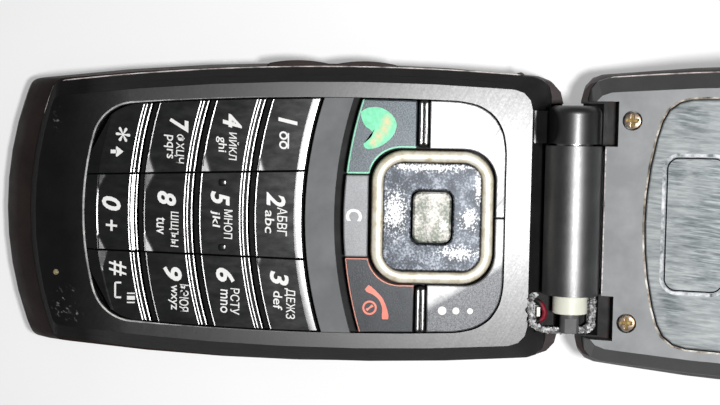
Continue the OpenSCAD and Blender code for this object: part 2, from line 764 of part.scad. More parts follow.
// Outline of a number key: its lower and upper arched edges and its two sides
function key_low(r, x) = r < 3 ? row_y(r + 1, x) + key_gap / 2
  : y_at(pad_end_s) + key_gap + bow(pad_end_r, x);
function key_high(r, x) = row_y(r, x) - key_gap / 2;
function pad_side(y) = pad_hw - key_gap - bow(pad_side_r, y - wide_y);
function steps(a, b, n) = [for (i = [0:n]) a + (b - a) * i / n];
function key_points(r, c) = c == 0 ? [for (p = [for (q = key_points(r, 2)) q]) [-p.x, p.y]]
  : let (yl = key_low(r, col_half), yh = key_high(r, col_half))
    let (xl = col_x(yl) + (c - 1.5) * key_gap, xh = col_x(yh) + (c - 1.5) * key_gap)
    c == 1 ? concat([for (x = steps(-xl, xl, 5)) [x, key_low(r, x)]],
        [for (x = steps(xh, -xh, 5)) [x, key_high(r, x)]])
    : let (y1 = key_low(r, pad_hw - 0.5), y2 = key_high(r, pad_hw - 0.5))
      let (corner = [for (p = pad_plan(key_gap)) if (p.x > xl + 1 && p.y < y2 - 1.2) p])
      let (foot = r < 3 ? [for (x = steps(xl, pad_side(y1), 5)) [x, key_low(r, x)]]
        : concat([[xl, key_low(r, xl)]], corner))
      concat(foot, [for (x = steps(pad_side(y2), xh, 5)) [x, key_high(r, x)]]);

// A ring drawn in from a key's outline, and moved towards the bottom end
function drawn_in(points, d, shift, z) =
  let (xs = [for (p = points) p.x], ys = [for (p = points) p.y])
  let (lo = [min(xs), min(ys)], hi = [max(xs), max(ys)], mid = (lo + hi) / 2)
  let (k = [1 - 2 * d / (hi.x - lo.x), 1 - 2 * d / (hi.y - lo.y)])
  [for (p = points) [mid.x + (p.x - mid.x) * k.x, mid.y - shift + (p.y - mid.y) * k.y, z]];

// Profile of a number key: height from the top, draw-in and shift of the crown
crown = [[0.75, 0, 0], [0.4, 0.2, 0.08], [0.12, 0.55, 0.2], [0, 0.95, 0.3]];

module number_key(i) {
  top = face_z + key_proud;
  r = floor(i / 3);
  c = i % 3;
  points = c == 0 ? [for (k = [len(key_points(r, 0)) - 1:-1:0]) key_points(r, 0)[k]] : key_points(r, c);
  color([0.06, 0.065, 0.07]) {
    loft(concat([drawn_in(points, 0, 0, cap_z)],
      [for (k = crown) drawn_in(points, k[1], k[2], top - k[0])]));
    translate(number_spots[i]) post(plunger_r, plunger_z, cap_z + 0.4);
  }
}

module key_1() { number_key(0); }
module key_2() { number_key(1); }
module key_3() { number_key(2); }
module key_4() { number_key(3); }
module key_5() { number_key(4); }
module key_6() { number_key(5); }
module key_7() { number_key(6); }
module key_8() { number_key(7); }
module key_9() { number_key(8); }
module key_star() { number_key(9); }
module key_0() { number_key(10); }
module key_hash() { number_key(11); }

module nav_plan(e) {
  translate([0, nav_y]) rounded(nav_w + 2 * e, nav_l + 2 * e, nav_corner + e);
}

// The field above the grey strip, less the room of the navigation key
module cluster(y0, y1, x0, x1) {
  difference() {
    intersection() {
      polygon(pad_plan(key_gap));
      above_row(cluster_s);
      translate([x0, y0]) square([x1 - x0, y1 - y0]);
    }
    nav_plan(nav_gap);
  }
}

module function_key(spot) {
  translate([0, 0, cap_z]) linear_extrude(face_z + function_proud - cap_z) children();
  translate(spot) post(plunger_r, plunger_z, cap_z + 0.4);
}

low_y = y_at(cluster_s + 2);
send_top = y_at(separator_s + separator_w / 2 + key_gap);
soft_low = y_at(separator_s - separator_w / 2 - key_gap);
soft_top = y_at(pad_top_s - 1);

module send_key() {
  color([0.33, 0.34, 0.37]) function_key(function_spots[0])
    cluster(low_y, send_top, -pad_hw, -clear_hw - key_gap / 2);
}

module end_key() {
  color([0.33, 0.34, 0.37]) function_key(function_spots[1])
    cluster(low_y, send_top, clear_hw + key_gap / 2, pad_hw);
}

module clear_key() {
  color([0.55, 0.56, 0.58]) function_key(function_spots[2])
    cluster(low_y, nav_y, -clear_hw + key_gap / 2, clear_hw - key_gap / 2);
}

module soft_key_left() {
  color([0.55, 0.56, 0.58]) function_key(function_spots[3])
    cluster(soft_low, soft_top, -pad_hw, -key_gap / 2);
}

module soft_key_right() {
  color([0.55, 0.56, 0.58]) function_key(function_spots[4])
    cluster(soft_low, soft_top, key_gap / 2, pad_hw);
}

module nav_pusher() {
  color([0.8, 0.8, 0.78]) {
    translate([0, 0, cap_z]) linear_extrude(pusher_t) difference() {
      nav_plan(-2);
      translate([0, nav_y]) circle(ok_stem_r + 0.6);
    }
    for (p = nav_spots) translate(p) post(plunger_r, plunger_z, cap_z + 0.2);
  }
}

module nav_plate() {
  color([0.75, 0.77, 0.8]) translate([0, 0, nav_z]) linear_extrude(face_z + nav_sink - nav_z) difference() {
    nav_plan(-nav_rim - seat);
    translate([0, nav_y]) rounded(ok_w + 0.6, ok_l + 0.6, ok_corner + 0.3);
  }
}

module nav_ring() {
  top = face_z + nav_proud;
  color([0.9, 0.88, 0.8]) for (k = [[0, nav_z, top - 0.35], [0.3, nav_z, top]])
    translate([0, 0, k[1]]) linear_extrude(k[2] - k[1]) difference() {
      nav_plan(-k[0]);
      nav_plan(-nav_rim + k[0]);
    }
}

module ok_key() {
  color([0.72, 0.74, 0.77]) {
    translate([0, nav_y, nav_z]) linear_extrude(face_z + ok_proud - nav_z) rounded(ok_w, ok_l, ok_corner);
    translate([0, nav_y, 0]) post(ok_stem_r, plunger_z, nav_z + 0.2);
  }
}

module volume_key() {
  face_x = -cover_hw - 0.35;
  part = volume_l / 2 - 0.4;
  r = (part * part / 4 + pow(volume_bump, 2)) / (2 * volume_bump);
  color([0.17, 0.15, 0.15]) translate([0, y_at(volume_s), side_key_z]) linear_extrude(side_key_h) {
    translate([face_x, -volume_l / 2]) square([-side_in - 0.4 - face_x, volume_l]);
    for (k = [-1, 1]) intersection() {
      translate([face_x - volume_bump + r, k * (part / 2 + 0.4)]) circle(r, $fn = 240);
      translate([face_x - volume_bump, k * (part / 2 + 0.4) - part / 2]) square([volume_bump + 0.4, part]);
    }
  }
  color([0.17, 0.15, 0.15]) translate([-volume_x, y_at(volume_s), 0])
    post(volume_pin_r, side_key_z - volume_pin_l, side_key_z + side_key_h / 2);
}

module socket_cover() {
  color([0.14, 0.12, 0.12]) {
    intersection() {
      rear_skin();
      block([-body_w / 2 - 1, y_at(socket_s + socket_l - socket_r), side_key_z],
        [-side_in - 0.15, y_at(socket_s), side_key_z + side_key_h]);
    }
    translate([-socket_x, y_at(socket_s), 0]) post(socket_r, side_key_z, side_key_z + side_key_h);
  }
}

module hinge_shaft() {
  color([0.5, 0.51, 0.53]) difference() {
    rod(shaft_r, -1.6, knuckle_half - 0.1);
    for (z = [-1, 1]) translate([0, 0, z * (2 * shaft_r - 0.3)])
      block([knuckle_half - 2.4, hinge_y - 2 * shaft_r, hinge_z - shaft_r],
        [knuckle_half, hinge_y + 2 * shaft_r, hinge_z + shaft_r]);
  }
}

module hinge_bush() {
  color([0.94, 0.93, 0.87]) difference() {
    rod(bush_r, knuckle_in - side_gap / 2, knuckle_in + bush_l);
    rod(shaft_r + run_gap, 0, knuckle_half);
  }
}

module hinge_pin() {
  color([0.6, 0.6, 0.62]) difference() {
    rod(barrel_bore_r - run_gap, -pin_out, -pin_in);
    rod(pin_bore_r, -knuckle_half, 0);
  }
}

// The display ribbon on the keypad side: rolled in the hinge pin, then down to the main board
module base_flex() {
  color([0.75, 0.5, 0.2]) {
    difference() {
      rod(1.5, -flex_x1, -pin_in - 0.3);
      rod(1.25, -knuckle_half, 0);
    }
    block([-flex_x1, y_at(1.5), parting_z + 0.2], [-flex_x0, y_at(1.3), hinge_z]);
    block([-flex_x1, y_at(cavity_top_s + 2), parting_z + 0.2], [-flex_x0, y_at(1.3), parting_z + 0.4]);
  }
}

// The red lead that shows in the broken knuckle
lead_points = [[1, 5, -0.95], [1.15, 4.5, -0.8], [1.7, 3.9, -0.65], [2.7, 3.5, -0.6], [3.6, 3.6, -0.7],
  [4.1, 4.2, -0.85], [4.25, 4.8, -0.95]];

module hinge_lead() {
  color([0.75, 0.12, 0.1])
    tube([for (p = lead_points) [knuckle_in + p.x, y_at(p.y), face_z + p.z]], lead_r, 8);
}

module lid_inner_cover() {
  color([0.2, 0.21, 0.22]) opened() difference() {
    loft([for (k = cover_rings) at_z(lid_plan(k[1]), lid_z + k[0])]);
    prism(inner_plan(wall, cavity_top_s + 1), plate_top, lid_parting + cut);
    for (x = [-1, 1])
      block([x * (barrel_half + knuckle_half + 0.7) / 2 - notch_hw, y_at(notch_s), lid_z - cut],
        [x * (barrel_half + knuckle_half + 0.7) / 2 + notch_hw, y_at(-5), lid_parting + cut]);
    prism(lens_plan(0.12), lid_z - cut, lid_z + lens_sink + lens_t + 0.05);
    slab(view_w, view_l, 1, lid_z, lid_parting + cut, view_s);
    slab(earpiece_w - 2, 1.3, 0.6, lid_z - cut, lid_parting + cut, earpiece_s);
    at_lid_screws() union() {
      post(screw_r + 0.1, -cut, cover_depth + cut);
      post(head_r + 0.25, -cut, lid_head_z + head_h + 0.05);
      post(boss_r + 0.15, plate_top - lid_z, cover_depth + cut);
    }
    for (x = [-1, 1]) translate([x * bumper_x, 0, 0]) translate([0, bumper_y, lid_z - cut])
      linear_extrude(cut + 0.35) rounded(bumper_w + 0.2, bumper_l + 0.2, 0.8);
    block([-web_hw - 0.2, y_at(web_end_s + 0.6), plate_top], [web_hw + 0.2, y_at(0), lid_parting + cut]);
    barrel_room(barrel_half + 0.1);
  }
}

function lid_plan(k) = plan(cover_hw - side_slope * k, cover_end_y + end_slope * k,
  y_at(lid_shoulder_s + k), cover_corner, hinge_corner, side_r, end_r, straight());
function lens_plan(e) = plan(lens_w / 2 + e, y_at(lens_far_s) - e, y_at(lens_near_s) + e, 6, 4.5,
  pad_side_r, end_r, lens_end_r);

module lid_outer_cover() {
  top = lid_t - cover_depth - seat;
  rings = shell_levels(top, lid_nose);
  color([0.16, 0.135, 0.135]) opened() difference() {
    union() {
      difference() {
        loft([for (i = [len(rings) - 1:-1:0])
          at_z(shell_plan(rings[i], top, lid_nose, lid_edge_s, lid_bulge, hinge_corner),
            lid_top - rings[i])]);
        prism(inner_plan(wall, cavity_top_s + 1), lid_parting - cut, lid_top - outer_wall);
      }
      at_lid_screws() post(boss_r, plate_top - lid_z + seat, lid_t - outer_wall + 0.2);
    }
    barrel_room(knuckle_half + side_gap + 0.1);
    block([-web_hw - 0.2, y_at(web_end_s + 0.6), lid_parting - cut],
      [web_hw + 0.2, y_at(0), web_top + 0.2]);
    at_lid_screws() post(screw_r + seat, 0, lid_screw_l + 0.1);
    slab(outer_w + 0.2, outer_l + 0.2, 2.6, lid_top - outer_lens_t - 0.05, lid_top + cut, outer_s);
    slab(outer_w - 3, outer_l - 3, 1.5, lid_top - outer_wall - cut, lid_top, outer_s);
  }
}

module hinge_barrel() {
  color([0.2, 0.22, 0.23]) opened() difference() {
    union() {
      rod(barrel_r, -barrel_half, barrel_half);
      block([-web_hw, y_at(web_end_s), plate_top + seat], [web_hw, y_at(1), web_top]);
    }
    rod(barrel_bore_r, -barrel_half - cut, barrel_half + cut);
    block([-lid_flex_x1 - 0.3, y_at(web_end_s + 0.2), lid_z + 2.55],
      [-lid_flex_x0 + 0.3, y_at(0.5), lid_z + 3.1]);
  }
}

module hinge_can() {
  color([0.66, 0.67, 0.69]) opened() difference() {
    rod(barrel_bore_r - seat, can_x0, barrel_half - 0.1);
    rod(can_bore_r, can_x0 + 1.2, barrel_half - 1.2);
    rod(shaft_r + run_gap, -barrel_half, knuckle_half);
  }
}

// Compression spring that presses the hinge's cams together
spring_turns = 7;
spring_r = 1.84;
spring_wire = 0.28;
spring_x0 = can_x0 + 1.7;
spring_pitch = (barrel_half - 1.7 - spring_x0) / spring_turns;
spring_path = [for (i = [0:8 * spring_turns]) let (a = 45 * i)
  [spring_x0 + spring_pitch * i / 8, hinge_y + spring_r * cos(a), hinge_z + spring_r * sin(a)]];
echo(spring_least_gap = min([for (i = [0:len(spring_path) - 1], j = [0:len(spring_path) - 1])
  if (j - i >= 5) norm(spring_path[i] - spring_path[j])]) - 2 * spring_wire);

module hinge_spring() {
  color([0.8, 0.8, 0.82]) opened() tube(spring_path, spring_wire, 6);
}

module display_lens() {
  color([0.45, 0.47, 0.48]) opened() prism(lens_plan(0), lid_z + lens_sink, lid_z + lens_sink + lens_t);
}

module display_module() {
  color([0.3, 0.32, 0.34]) opened() {
    slab(view_w + 5, view_l + 8, 1, plate_top + seat, lid_top - outer_wall - seat, view_s);
  }
}

module lid_board() {
  color([0.1, 0.35, 0.2]) opened() block([-lid_board_hw, y_at(lid_board_s1), lid_z + 3.05],
    [lid_board_hw, y_at(lid_board_s0), lid_z + 3.05 + board_t]);
}

module earpiece() {
  color([0.5, 0.5, 0.52]) opened()
    slab(earpiece_w, earpiece_l, 2, plate_top + seat, plate_top + 2, earpiece_s);
}

// The display ribbon on the lid side: rolled in the barrel, then out along its web to the lid board
module lid_flex() {
  color([0.75, 0.5, 0.2]) opened() {
    difference() {
      rod(1.5, -lid_flex_x1, -lid_flex_x0);
      rod(1.25, -knuckle_half, 0);
    }
    block([-lid_flex_x1, y_at(1.1), lid_z + 0.8], [-lid_flex_x0, y_at(0.9), lid_z + 2.85]);
    block([-lid_flex_x1, y_at(lid_board_s0 + 1), lid_z + 2.75],
      [-lid_flex_x0, y_at(0.9), lid_z + 2.75 + ribbon_t]);
  }
}

module lid_screws() {
  color([0.78, 0.78, 0.8]) opened() at_lid_screws() {
    union() {
      post(screw_r, lid_head_z, lid_screw_l);
      post(head_r, lid_head_z, lid_head_z + head_h);
    }
  }
}

module lid_bumpers() {
  color([0.1, 0.1, 0.1]) opened() for (x = [-1, 1])
    translate([x * bumper_x, bumper_y, lid_z - face_gap + 0.15])
      linear_extrude(face_gap - 0.15 + 0.3) rounded(bumper_w, bumper_l, 0.7);
}

module outer_window() {
  color([0.08, 0.09, 0.1]) opened()
    slab(outer_w, outer_l, 2.5, lid_top - outer_lens_t, lid_top - 0.05, outer_s);
}

front_cover();
rear_cover();
keypad_strip();
key_separators();
keymat();
dome_sheet();
main_board();
rf_shield();
battery();
battery_cover();
battery_contacts();
sim_holder();
microphone();
loudspeaker();
vibration_motor();
vibration_weight();
data_connector();
antenna();
base_screws();
hinge_shaft();
hinge_bush();
hinge_pin();
base_flex();
hinge_lead();
key_1();
key_2();
key_3();
key_4();
key_5();
key_6();
key_7();
key_8();
key_9();
key_star();
key_0();
key_hash();
send_key();
end_key();
clear_key();
soft_key_left();
soft_key_right();
nav_pusher();
nav_plate();
nav_ring();
ok_key();
volume_key();
socket_cover();
lid_inner_cover();
lid_outer_cover();
hinge_barrel();
hinge_can();
hinge_spring();
display_lens();
display_module();
lid_board();
earpiece();
lid_flex();
lid_screws();
lid_bumpers();
outer_window();
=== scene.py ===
import json

import bmesh
import bpy
import numpy as np
from mathutils import Matrix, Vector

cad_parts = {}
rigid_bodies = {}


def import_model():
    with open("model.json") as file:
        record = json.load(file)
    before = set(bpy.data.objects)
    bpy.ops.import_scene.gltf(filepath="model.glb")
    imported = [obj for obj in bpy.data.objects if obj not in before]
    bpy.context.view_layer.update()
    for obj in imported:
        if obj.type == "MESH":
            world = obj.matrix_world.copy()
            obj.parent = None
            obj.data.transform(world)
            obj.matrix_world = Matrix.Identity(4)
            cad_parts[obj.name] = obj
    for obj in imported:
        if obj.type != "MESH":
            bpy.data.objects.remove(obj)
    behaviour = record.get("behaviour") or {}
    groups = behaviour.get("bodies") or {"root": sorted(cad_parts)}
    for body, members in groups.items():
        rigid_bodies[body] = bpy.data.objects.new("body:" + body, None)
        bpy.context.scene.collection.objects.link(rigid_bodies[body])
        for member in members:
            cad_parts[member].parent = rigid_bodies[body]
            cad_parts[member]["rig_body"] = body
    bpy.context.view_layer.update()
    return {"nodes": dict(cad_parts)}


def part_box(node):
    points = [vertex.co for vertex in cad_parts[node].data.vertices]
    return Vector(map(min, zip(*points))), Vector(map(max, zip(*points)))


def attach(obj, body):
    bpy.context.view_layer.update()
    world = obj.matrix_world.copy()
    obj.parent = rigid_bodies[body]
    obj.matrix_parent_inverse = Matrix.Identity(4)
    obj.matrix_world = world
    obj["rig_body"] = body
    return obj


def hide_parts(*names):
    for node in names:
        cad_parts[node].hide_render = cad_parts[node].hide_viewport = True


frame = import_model()
scene = bpy.context.scene
scene.view_settings.view_transform = "Standard"

# Camera: a pocket camera held above the opened phone, about 19 cm over the keys.
# Its place, turn and focal length were fitted to the corners of the covers and keys.
eye = (-13.777, 10.115, 200.197)
right = (-0.017897, 0.999812, 0.007423)
up = (-0.997936, -0.017404, -0.061809)
back = (-0.061668, -0.008514, 0.99806)
camera = bpy.data.objects.new("camera", bpy.data.cameras.new("camera"))
camera.data.lens = 62.87
camera.data.sensor_width = 36.0
camera.data.clip_start = 0.01
camera.matrix_world = Matrix([[right[i], up[i], back[i], eye[i] * 0.001] for i in range(3)] + [[0, 0, 0, 1]])
scene.collection.objects.link(camera)
scene.camera = camera

# Table: a sheet of white paper under the phone, wide enough for every view.
# It is a flat grid, lit by the lamp and the room, and it takes the phone's shadow.


def feed(node, sockets):
    """Fills a shader node's sockets, each with a value or with a link from another node."""
    for key, value in dict(sockets).items():
        if isinstance(value, bpy.types.NodeSocket):
            node.id_data.links.new(value, node.inputs[key])
        else:
            node.inputs[key].default_value = value


def add(tree, kind, sockets=(), **settings):
    """Adds one shader node with its properties set and its sockets filled."""
    made = tree.nodes.new("ShaderNode" + kind)
    for key, value in settings.items():
        setattr(made, key, value)
    feed(made, sockets)
    return made


def lay(surface, **sockets):
    """Fills a surface's sockets by their names, with a low line for each space."""
    feed(surface, {key.replace("_", " "): value for key, value in sockets.items()})


def coating(name, **sockets):
    """Starts a material with a principled surface; gives material, tree and surface."""
    made = bpy.data.materials.new(name)
    made.use_nodes = True
    surface = made.node_tree.nodes["Principled BSDF"]
    lay(surface, **sockets)
    return made, made.node_tree, surface


def mottle(tree, size, stretch=(1, 1, 1), detail=3.0, turn=0.0):
    """Noise over the piece's own place: size is one blotch in millimetres, stretch makes it longer along an axis."""
    place = add(tree, "TexCoord").outputs["Object"]
    scale = tuple(1000.0 / (size * s) for s in stretch)
    turned = add(tree, "Mapping", {"Vector": place, "Rotation": (0, 0, turn)}).outputs[0]
    laid = add(tree, "Mapping", {"Vector": turned, "Scale": scale}).outputs[0]
    return add(tree, "TexNoise", {"Vector": laid, "Scale": 1.0, "Detail": detail, "Roughness": 0.6}).outputs["Fac"]


def tones(tree, value, stops):
    """Colours along a value: stops are pairs of a place from 0 to 1 and a colour or grey."""
    ramp = add(tree, "ValToRGB", {"Fac": value})
    marks = ramp.color_ramp.elements
    while len(marks) < len(stops):
        marks.new(0.5)
    for mark, (place, shade) in zip(marks, stops):
        mark.position = place
        mark.color = (*shade, 1.0) if isinstance(shade, tuple) else (shade, shade, shade, 1.0)
    return ramp.outputs["Color"]


def speckle(tree, size, stops):
    """Blotches of one size in several tones."""
    return tones(tree, mottle(tree, size), stops)


def ranged(tree, value, low, high, start=0.0, end=1.0):
    """Carries a value from the span low to high over to the span start to end, held at both ends."""
    feeds = {"Value": value, "From Min": low, "From Max": high, "To Min": start, "To Max": end}
    return add(tree, "MapRange", feeds).outputs["Result"]


def lattice(rows, columns, closed=True):
    """Corners of the four-sided faces of a grid of points, which may close on itself along its columns."""
    r, c = np.meshgrid(np.arange(rows - 1), np.arange(columns if closed else columns - 1), indexing="ij")
    n = (c + 1) % columns
    faces = [r * columns + c, r * columns + n, (r + 1) * columns + n, (r + 1) * columns + c]
    return np.stack(faces, -1).reshape(-1, 4)


def load(work, points, faces):
    """Adds points in millimetres and their faces to a mesh in work."""
    grid = bpy.data.meshes.new("grid")
    grid.from_pydata((np.asarray(points, float).reshape(-1, 3) * 0.001).tolist(), [], np.asarray(faces).tolist())
    work.from_mesh(grid)
    bpy.data.meshes.remove(grid)


def piece_from(work, name, material, sharp=None):
    """Ends the work on a mesh and puts it into the scene, smooth up to the sharp angle if one is given."""
    mesh = bpy.data.meshes.new(name)
    work.to_mesh(mesh)
    work.free()
    if sharp:
        mesh.shade_smooth()
        mesh.set_sharp_from_angle(angle=np.radians(sharp))
    mesh.materials.append(material)
    piece = bpy.data.objects.new(name, mesh)
    scene.collection.objects.link(piece)
    return piece


def build(name, points, faces, material, body=None, slot=None, sharp=35.0):
    """A piece from points in millimetres and four-sided faces: joins doubles, closes poles, rides on its body."""
    work = bmesh.new()
    load(work, points, faces)
    bmesh.ops.remove_doubles(work, verts=work.verts, dist=1e-6)
    bmesh.ops.dissolve_degenerate(work, edges=work.edges, dist=1e-7)
    bmesh.ops.recalc_face_normals(work, faces=work.faces)
    piece = piece_from(work, name, material, sharp)
    if body:
        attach(piece, body)
    return piece


paper, tree, surface = coating("white_paper", Roughness=0.9, Specular_IOR_Level=0.1, Emission_Color=(1, 1, 1, 1))
camera_ray = add(tree, "LightPath").outputs["Is Camera Ray"]
lay(surface, Base_Color=speckle(tree, 40.0, [(0.3, 0.62), (0.7, 0.65)]),
    Emission_Strength=ranged(tree, camera_ray, 0.0, 1.0, 0.0, 0.36))
span = np.linspace(-2000.0, 2000.0, 9)
table_x, table_y = np.meshgrid(span, span)
table = build("table", np.stack([table_x, table_y, 0 * table_x - 0.02], -1), lattice(9, 9, False), paper)

# Room and lamp: a dim room above pale walls, and the camera's own light beside its lens.
# The lamp stands over the hinge, so the glare lies on the upper keys and fades to the far end.


def where(tree, kind="Object"):
    """The three parts of the surface's own place, in metres, or of its direction."""
    return add(tree, "SeparateXYZ", {"Vector": add(tree, "TexCoord").outputs[kind]}).outputs


def joined(tree, how, *values):
    """Several values made one, pair after pair: how is ADD, MULTIPLY or MAXIMUM."""
    result = values[0]
    for value in values[1:]:
        result = add(tree, "Math", {0: result, 1: value}, operation=how).outputs[0]
    return result


room = bpy.data.worlds.new("room")
room.use_nodes = True
scene.world = room
tree = room.node_tree
height = ranged(tree, where(tree, "Generated")["Z"], -1.0, 1.0)
walls = tones(tree, height, [(0.49, 1.0), (0.52, 0.25), (0.62, 0.08), (1.0, 0.04)])
ray = add(tree, "LightPath").outputs
seen = joined(tree, "MAXIMUM", ray["Is Camera Ray"], ray["Is Glossy Ray"], ray["Is Transmission Ray"])
ambient = tree.nodes["Background"]
feed(ambient, {"Color": (1.0, 1.0, 1.0, 1.0), "Strength": 0.16})
shown = add(tree, "Background", {"Color": walls, "Strength": 1.0})
mixed = add(tree, "MixShader", {0: seen, 1: ambient.outputs[0], 2: shown.outputs[0]})
feed(tree.nodes["World Output"], {"Surface": mixed.outputs[0]})
lamp = bpy.data.objects.new("lamp", bpy.data.lights.new("lamp", "AREA"))
lamp.data.shape = "DISK"
lamp.data.size = 0.03
lamp.data.energy = 0.40
lamp.location = (0.005, 0.056, 0.2)
scene.collection.objects.link(lamp)

# Rear cover, battery cover and side keys: dark brown moulded plastic with a fine spark-eroded grain.
# The rear cover closes the keypad half from below, the battery cover slides on it, the keys sit in its wall.


def dress(node, material, bevel=0.15, sharp=30.0, segments=2, corners=(), bend=1.6):
    """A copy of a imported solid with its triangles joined, flat faces made whole and edges rounded (millimetres);
    upright edges at the corners, given as places in plan, become wide round bends."""
    work = bmesh.new()
    work.from_mesh(frame["nodes"][node].data)
    bmesh.ops.remove_doubles(work, verts=work.verts, dist=2e-6)
    bmesh.ops.dissolve_limit(work, angle_limit=np.radians(0.5), verts=work.verts, edges=work.edges)
    if len(corners):
        ends = np.array([[v.co * 1000.0 for v in edge.verts] for edge in work.edges])
        off = np.abs(ends[:, :, None, :2] - np.asarray(corners)[None, None]).max(-1).min(-1).max(-1)
        upright = np.abs(ends[:, 0, :2] - ends[:, 1, :2]).max(-1) < 0.01
        work.edges.ensure_lookup_table()
        bends = [work.edges[i] for i in np.flatnonzero((off < 0.02) & upright)]
        bmesh.ops.bevel(work, geom=bends, offset=bend * 0.001, segments=6, profile=0.5, affect="EDGES",
                        clamp_overlap=True)
    piece = piece_from(work, node + "_made", material, sharp)
    if bevel:
        rounding = piece.modifiers.new("rounded_edges", "BEVEL")
        rounding.width = bevel * 0.001
        rounding.segments = segments
        rounding.limit_method = "ANGLE"
        rounding.angle_limit = np.radians(sharp)
        level = piece.modifiers.new("flat_faces", "WEIGHTED_NORMAL")
        level.keep_sharp = True
    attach(piece, frame["nodes"][node]["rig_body"])
    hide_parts(node)


def raised(tree, height, depth):
    """The direction of a surface that rises by a value times depth, in millimetres."""
    return add(tree, "Bump", {"Height": height, "Distance": depth * 0.001, "Strength": 1.0}).outputs[0]


def moulding(name, dark, pale, rough, grain, depth, specular=0.5):
    """Moulded plastic: two close tones in soft blotches, a rubbed and dull mottling, and a raised grain."""
    made, tree, surface = coating(name, Specular_IOR_Level=specular)
    worn = mottle(tree, 2.5, (1, 3, 1))
    lay(surface, Base_Color=speckle(tree, 6.0, [(0.35, dark), (0.7, pale)]),
        Roughness=ranged(tree, worn, 0.3, 0.75, rough - 0.05, rough + 0.1),
        Normal=raised(tree, mottle(tree, grain), depth))
    return made

brown_shell = moulding("brown_shell", (0.014, 0.007, 0.006), (0.026, 0.013, 0.011), 0.45, 0.25, 0.012, 0.2)
shell_bevels = {"rear_cover": 0.25, "battery_cover": 0.2, "volume_key": 0.2, "socket_cover": 0.15}
for node, bevel in shell_bevels.items():
    dress(node, brown_shell, bevel)

# Front cover: black satin plastic, screwed on from below, worn by years in a pocket.
# Its right-hand hinge knuckle is broken open, so raw grey plastic shows there.


def patches(tree, ovals, soft=0.4):
    """How near the surface is to ovals, each given by its middle and its reach along x and y in millimetres: 1 inside
    any of them, 0 outside, soft at the rim."""
    found = []
    for x, y, reach_x, reach_y in ovals:
        feeds = {"Vector": add(tree, "TexCoord").outputs["Object"], "Location": (-x / reach_x, -y / reach_y, 0.0),
                 "Scale": (1000.0 / reach_x, 1000.0 / reach_y, 0.0)}
        far = add(tree, "VectorMath", {0: add(tree, "Mapping", feeds).outputs[0]}, operation="LENGTH")
        found.append(ranged(tree, far.outputs["Value"], 1.0 + soft, 1.0 - soft))
    return joined(tree, "MAXIMUM", *found)


def blended(tree, share, under, over):
    """Two colours mixed by a share from 0 to 1."""
    return add(tree, "Mix", {0: share, 6: under, 7: over}, data_type="RGBA").outputs[2]


def satin(name, dark, pale, rough, scuffs=(), fall=None, run=20.0, drop=6.4):
    """Satin black plastic: close tones, fine scratches that change the gloss, scuffed places given as ovals, and a
    place along the phone past which the face falls away in a parabola, by drop over the run."""
    made, tree, surface = coating(name, Specular_IOR_Level=1.0, Coat_Weight=0.4, Coat_Roughness=0.27)
    paint = speckle(tree, 5.0, [(0.35, dark), (0.7, pale)])
    if scuffs:
        rubbed = patches(tree, scuffs)
        chips = ranged(tree, mottle(tree, 0.5, (1, 2, 1), 4.0, 0.8), 0.58, 0.68)
        bare = speckle(tree, 1.0, [(0.3, 0.08), (0.7, 0.32)])
        paint = blended(tree, joined(tree, "MULTIPLY", rubbed, chips), paint, bare)
    scratch = ranged(tree, mottle(tree, 0.22, (14, 1, 1), 5.0, 0.5), 0.35, 0.7, rough - 0.02, rough + 0.03)
    grain = ranged(tree, mottle(tree, 0.32, (1, 1, 1), 2.0), 0.3, 0.7, -0.035, 0.035)
    height = ranged(tree, mottle(tree, 0.3), 0.0, 1.0, 0.0, 0.007)
    if fall:
        past = ranged(tree, where(tree)["Y"], (fall - run) * 0.001, fall * 0.001, run, 0.0)
        ramp = ranged(tree, joined(tree, "MULTIPLY", past, past), 0.0, run ** 2, 0.0, -drop)
        height = joined(tree, "ADD", height, ramp)
    lay(surface, Base_Color=paint, Roughness=joined(tree, "ADD", scratch, grain), Normal=raised(tree, height, 1.0))
    return made, tree, surface, paint


corner_scuffs = [(-14.2, -33.9, 1.9, 0.6), (13.9, -32.8, 2.1, 1.7), (15.9, -31.0, 0.8, 0.9)]
face_end = -23.0
black_face, tree, surface, paint = satin("black_face", 0.004, 0.008, 0.42, corner_scuffs, face_end)
spot = where(tree)
facing_up = where(tree, "Normal")["Z"]
jag = ranged(tree, mottle(tree, 1.1), 0.3, 0.7, -0.0006, 0.0006)
beside = joined(tree, "MULTIPLY", ranged(tree, spot["X"], 0.0111, 0.0113), ranged(tree, spot["X"], 0.0175, 0.0173),
                ranged(tree, joined(tree, "ADD", spot["Y"], jag), 0.0388, 0.0390))
broken = joined(tree, "MULTIPLY", beside, ranged(tree, facing_up, 0.1, 0.3), ranged(tree, spot["Z"], 0.0098, 0.0100))
raw = tones(tree, mottle(tree, 0.4, (1, 1, 1), 4.0), [(0.38, 0.02), (0.5, 0.22), (0.62, 0.75)])
pit = joined(tree, "MULTIPLY", beside, ranged(tree, spot["Z"], 0.0098, 0.0096))
slopes = joined(tree, "MULTIPLY", ranged(tree, facing_up, 0.7, 0.93, 0.7, 0.0), ranged(tree, spot["Y"], 0.0395, 0.0385))
rubbed_end = ranged(tree, spot["Y"], -0.033, -0.024, 0.65, 0.0)
end_slope = joined(tree, "MULTIPLY", ranged(tree, facing_up, 0.99, 0.9), ranged(tree, spot["Y"], -0.020, -0.030))
left_knuckle = patches(tree, [(-14.1, 39.4, 3.4, 1.7)], 0.15)
dull = joined(tree, "MAXIMUM", broken, pit, rubbed_end, end_slope, slopes, left_knuckle)
lay(surface, Base_Color=blended(tree, broken, paint, raw),
    Specular_IOR_Level=ranged(tree, dull, 0.0, 1.0, 1.0, 0.08), Coat_Weight=ranged(tree, dull, 0.0, 1.0, 0.5, 0.0))
opening = np.array([(17.587, 27.578), (16.628, 30.708), (14.263, 32.974), (11.094, 33.799)])
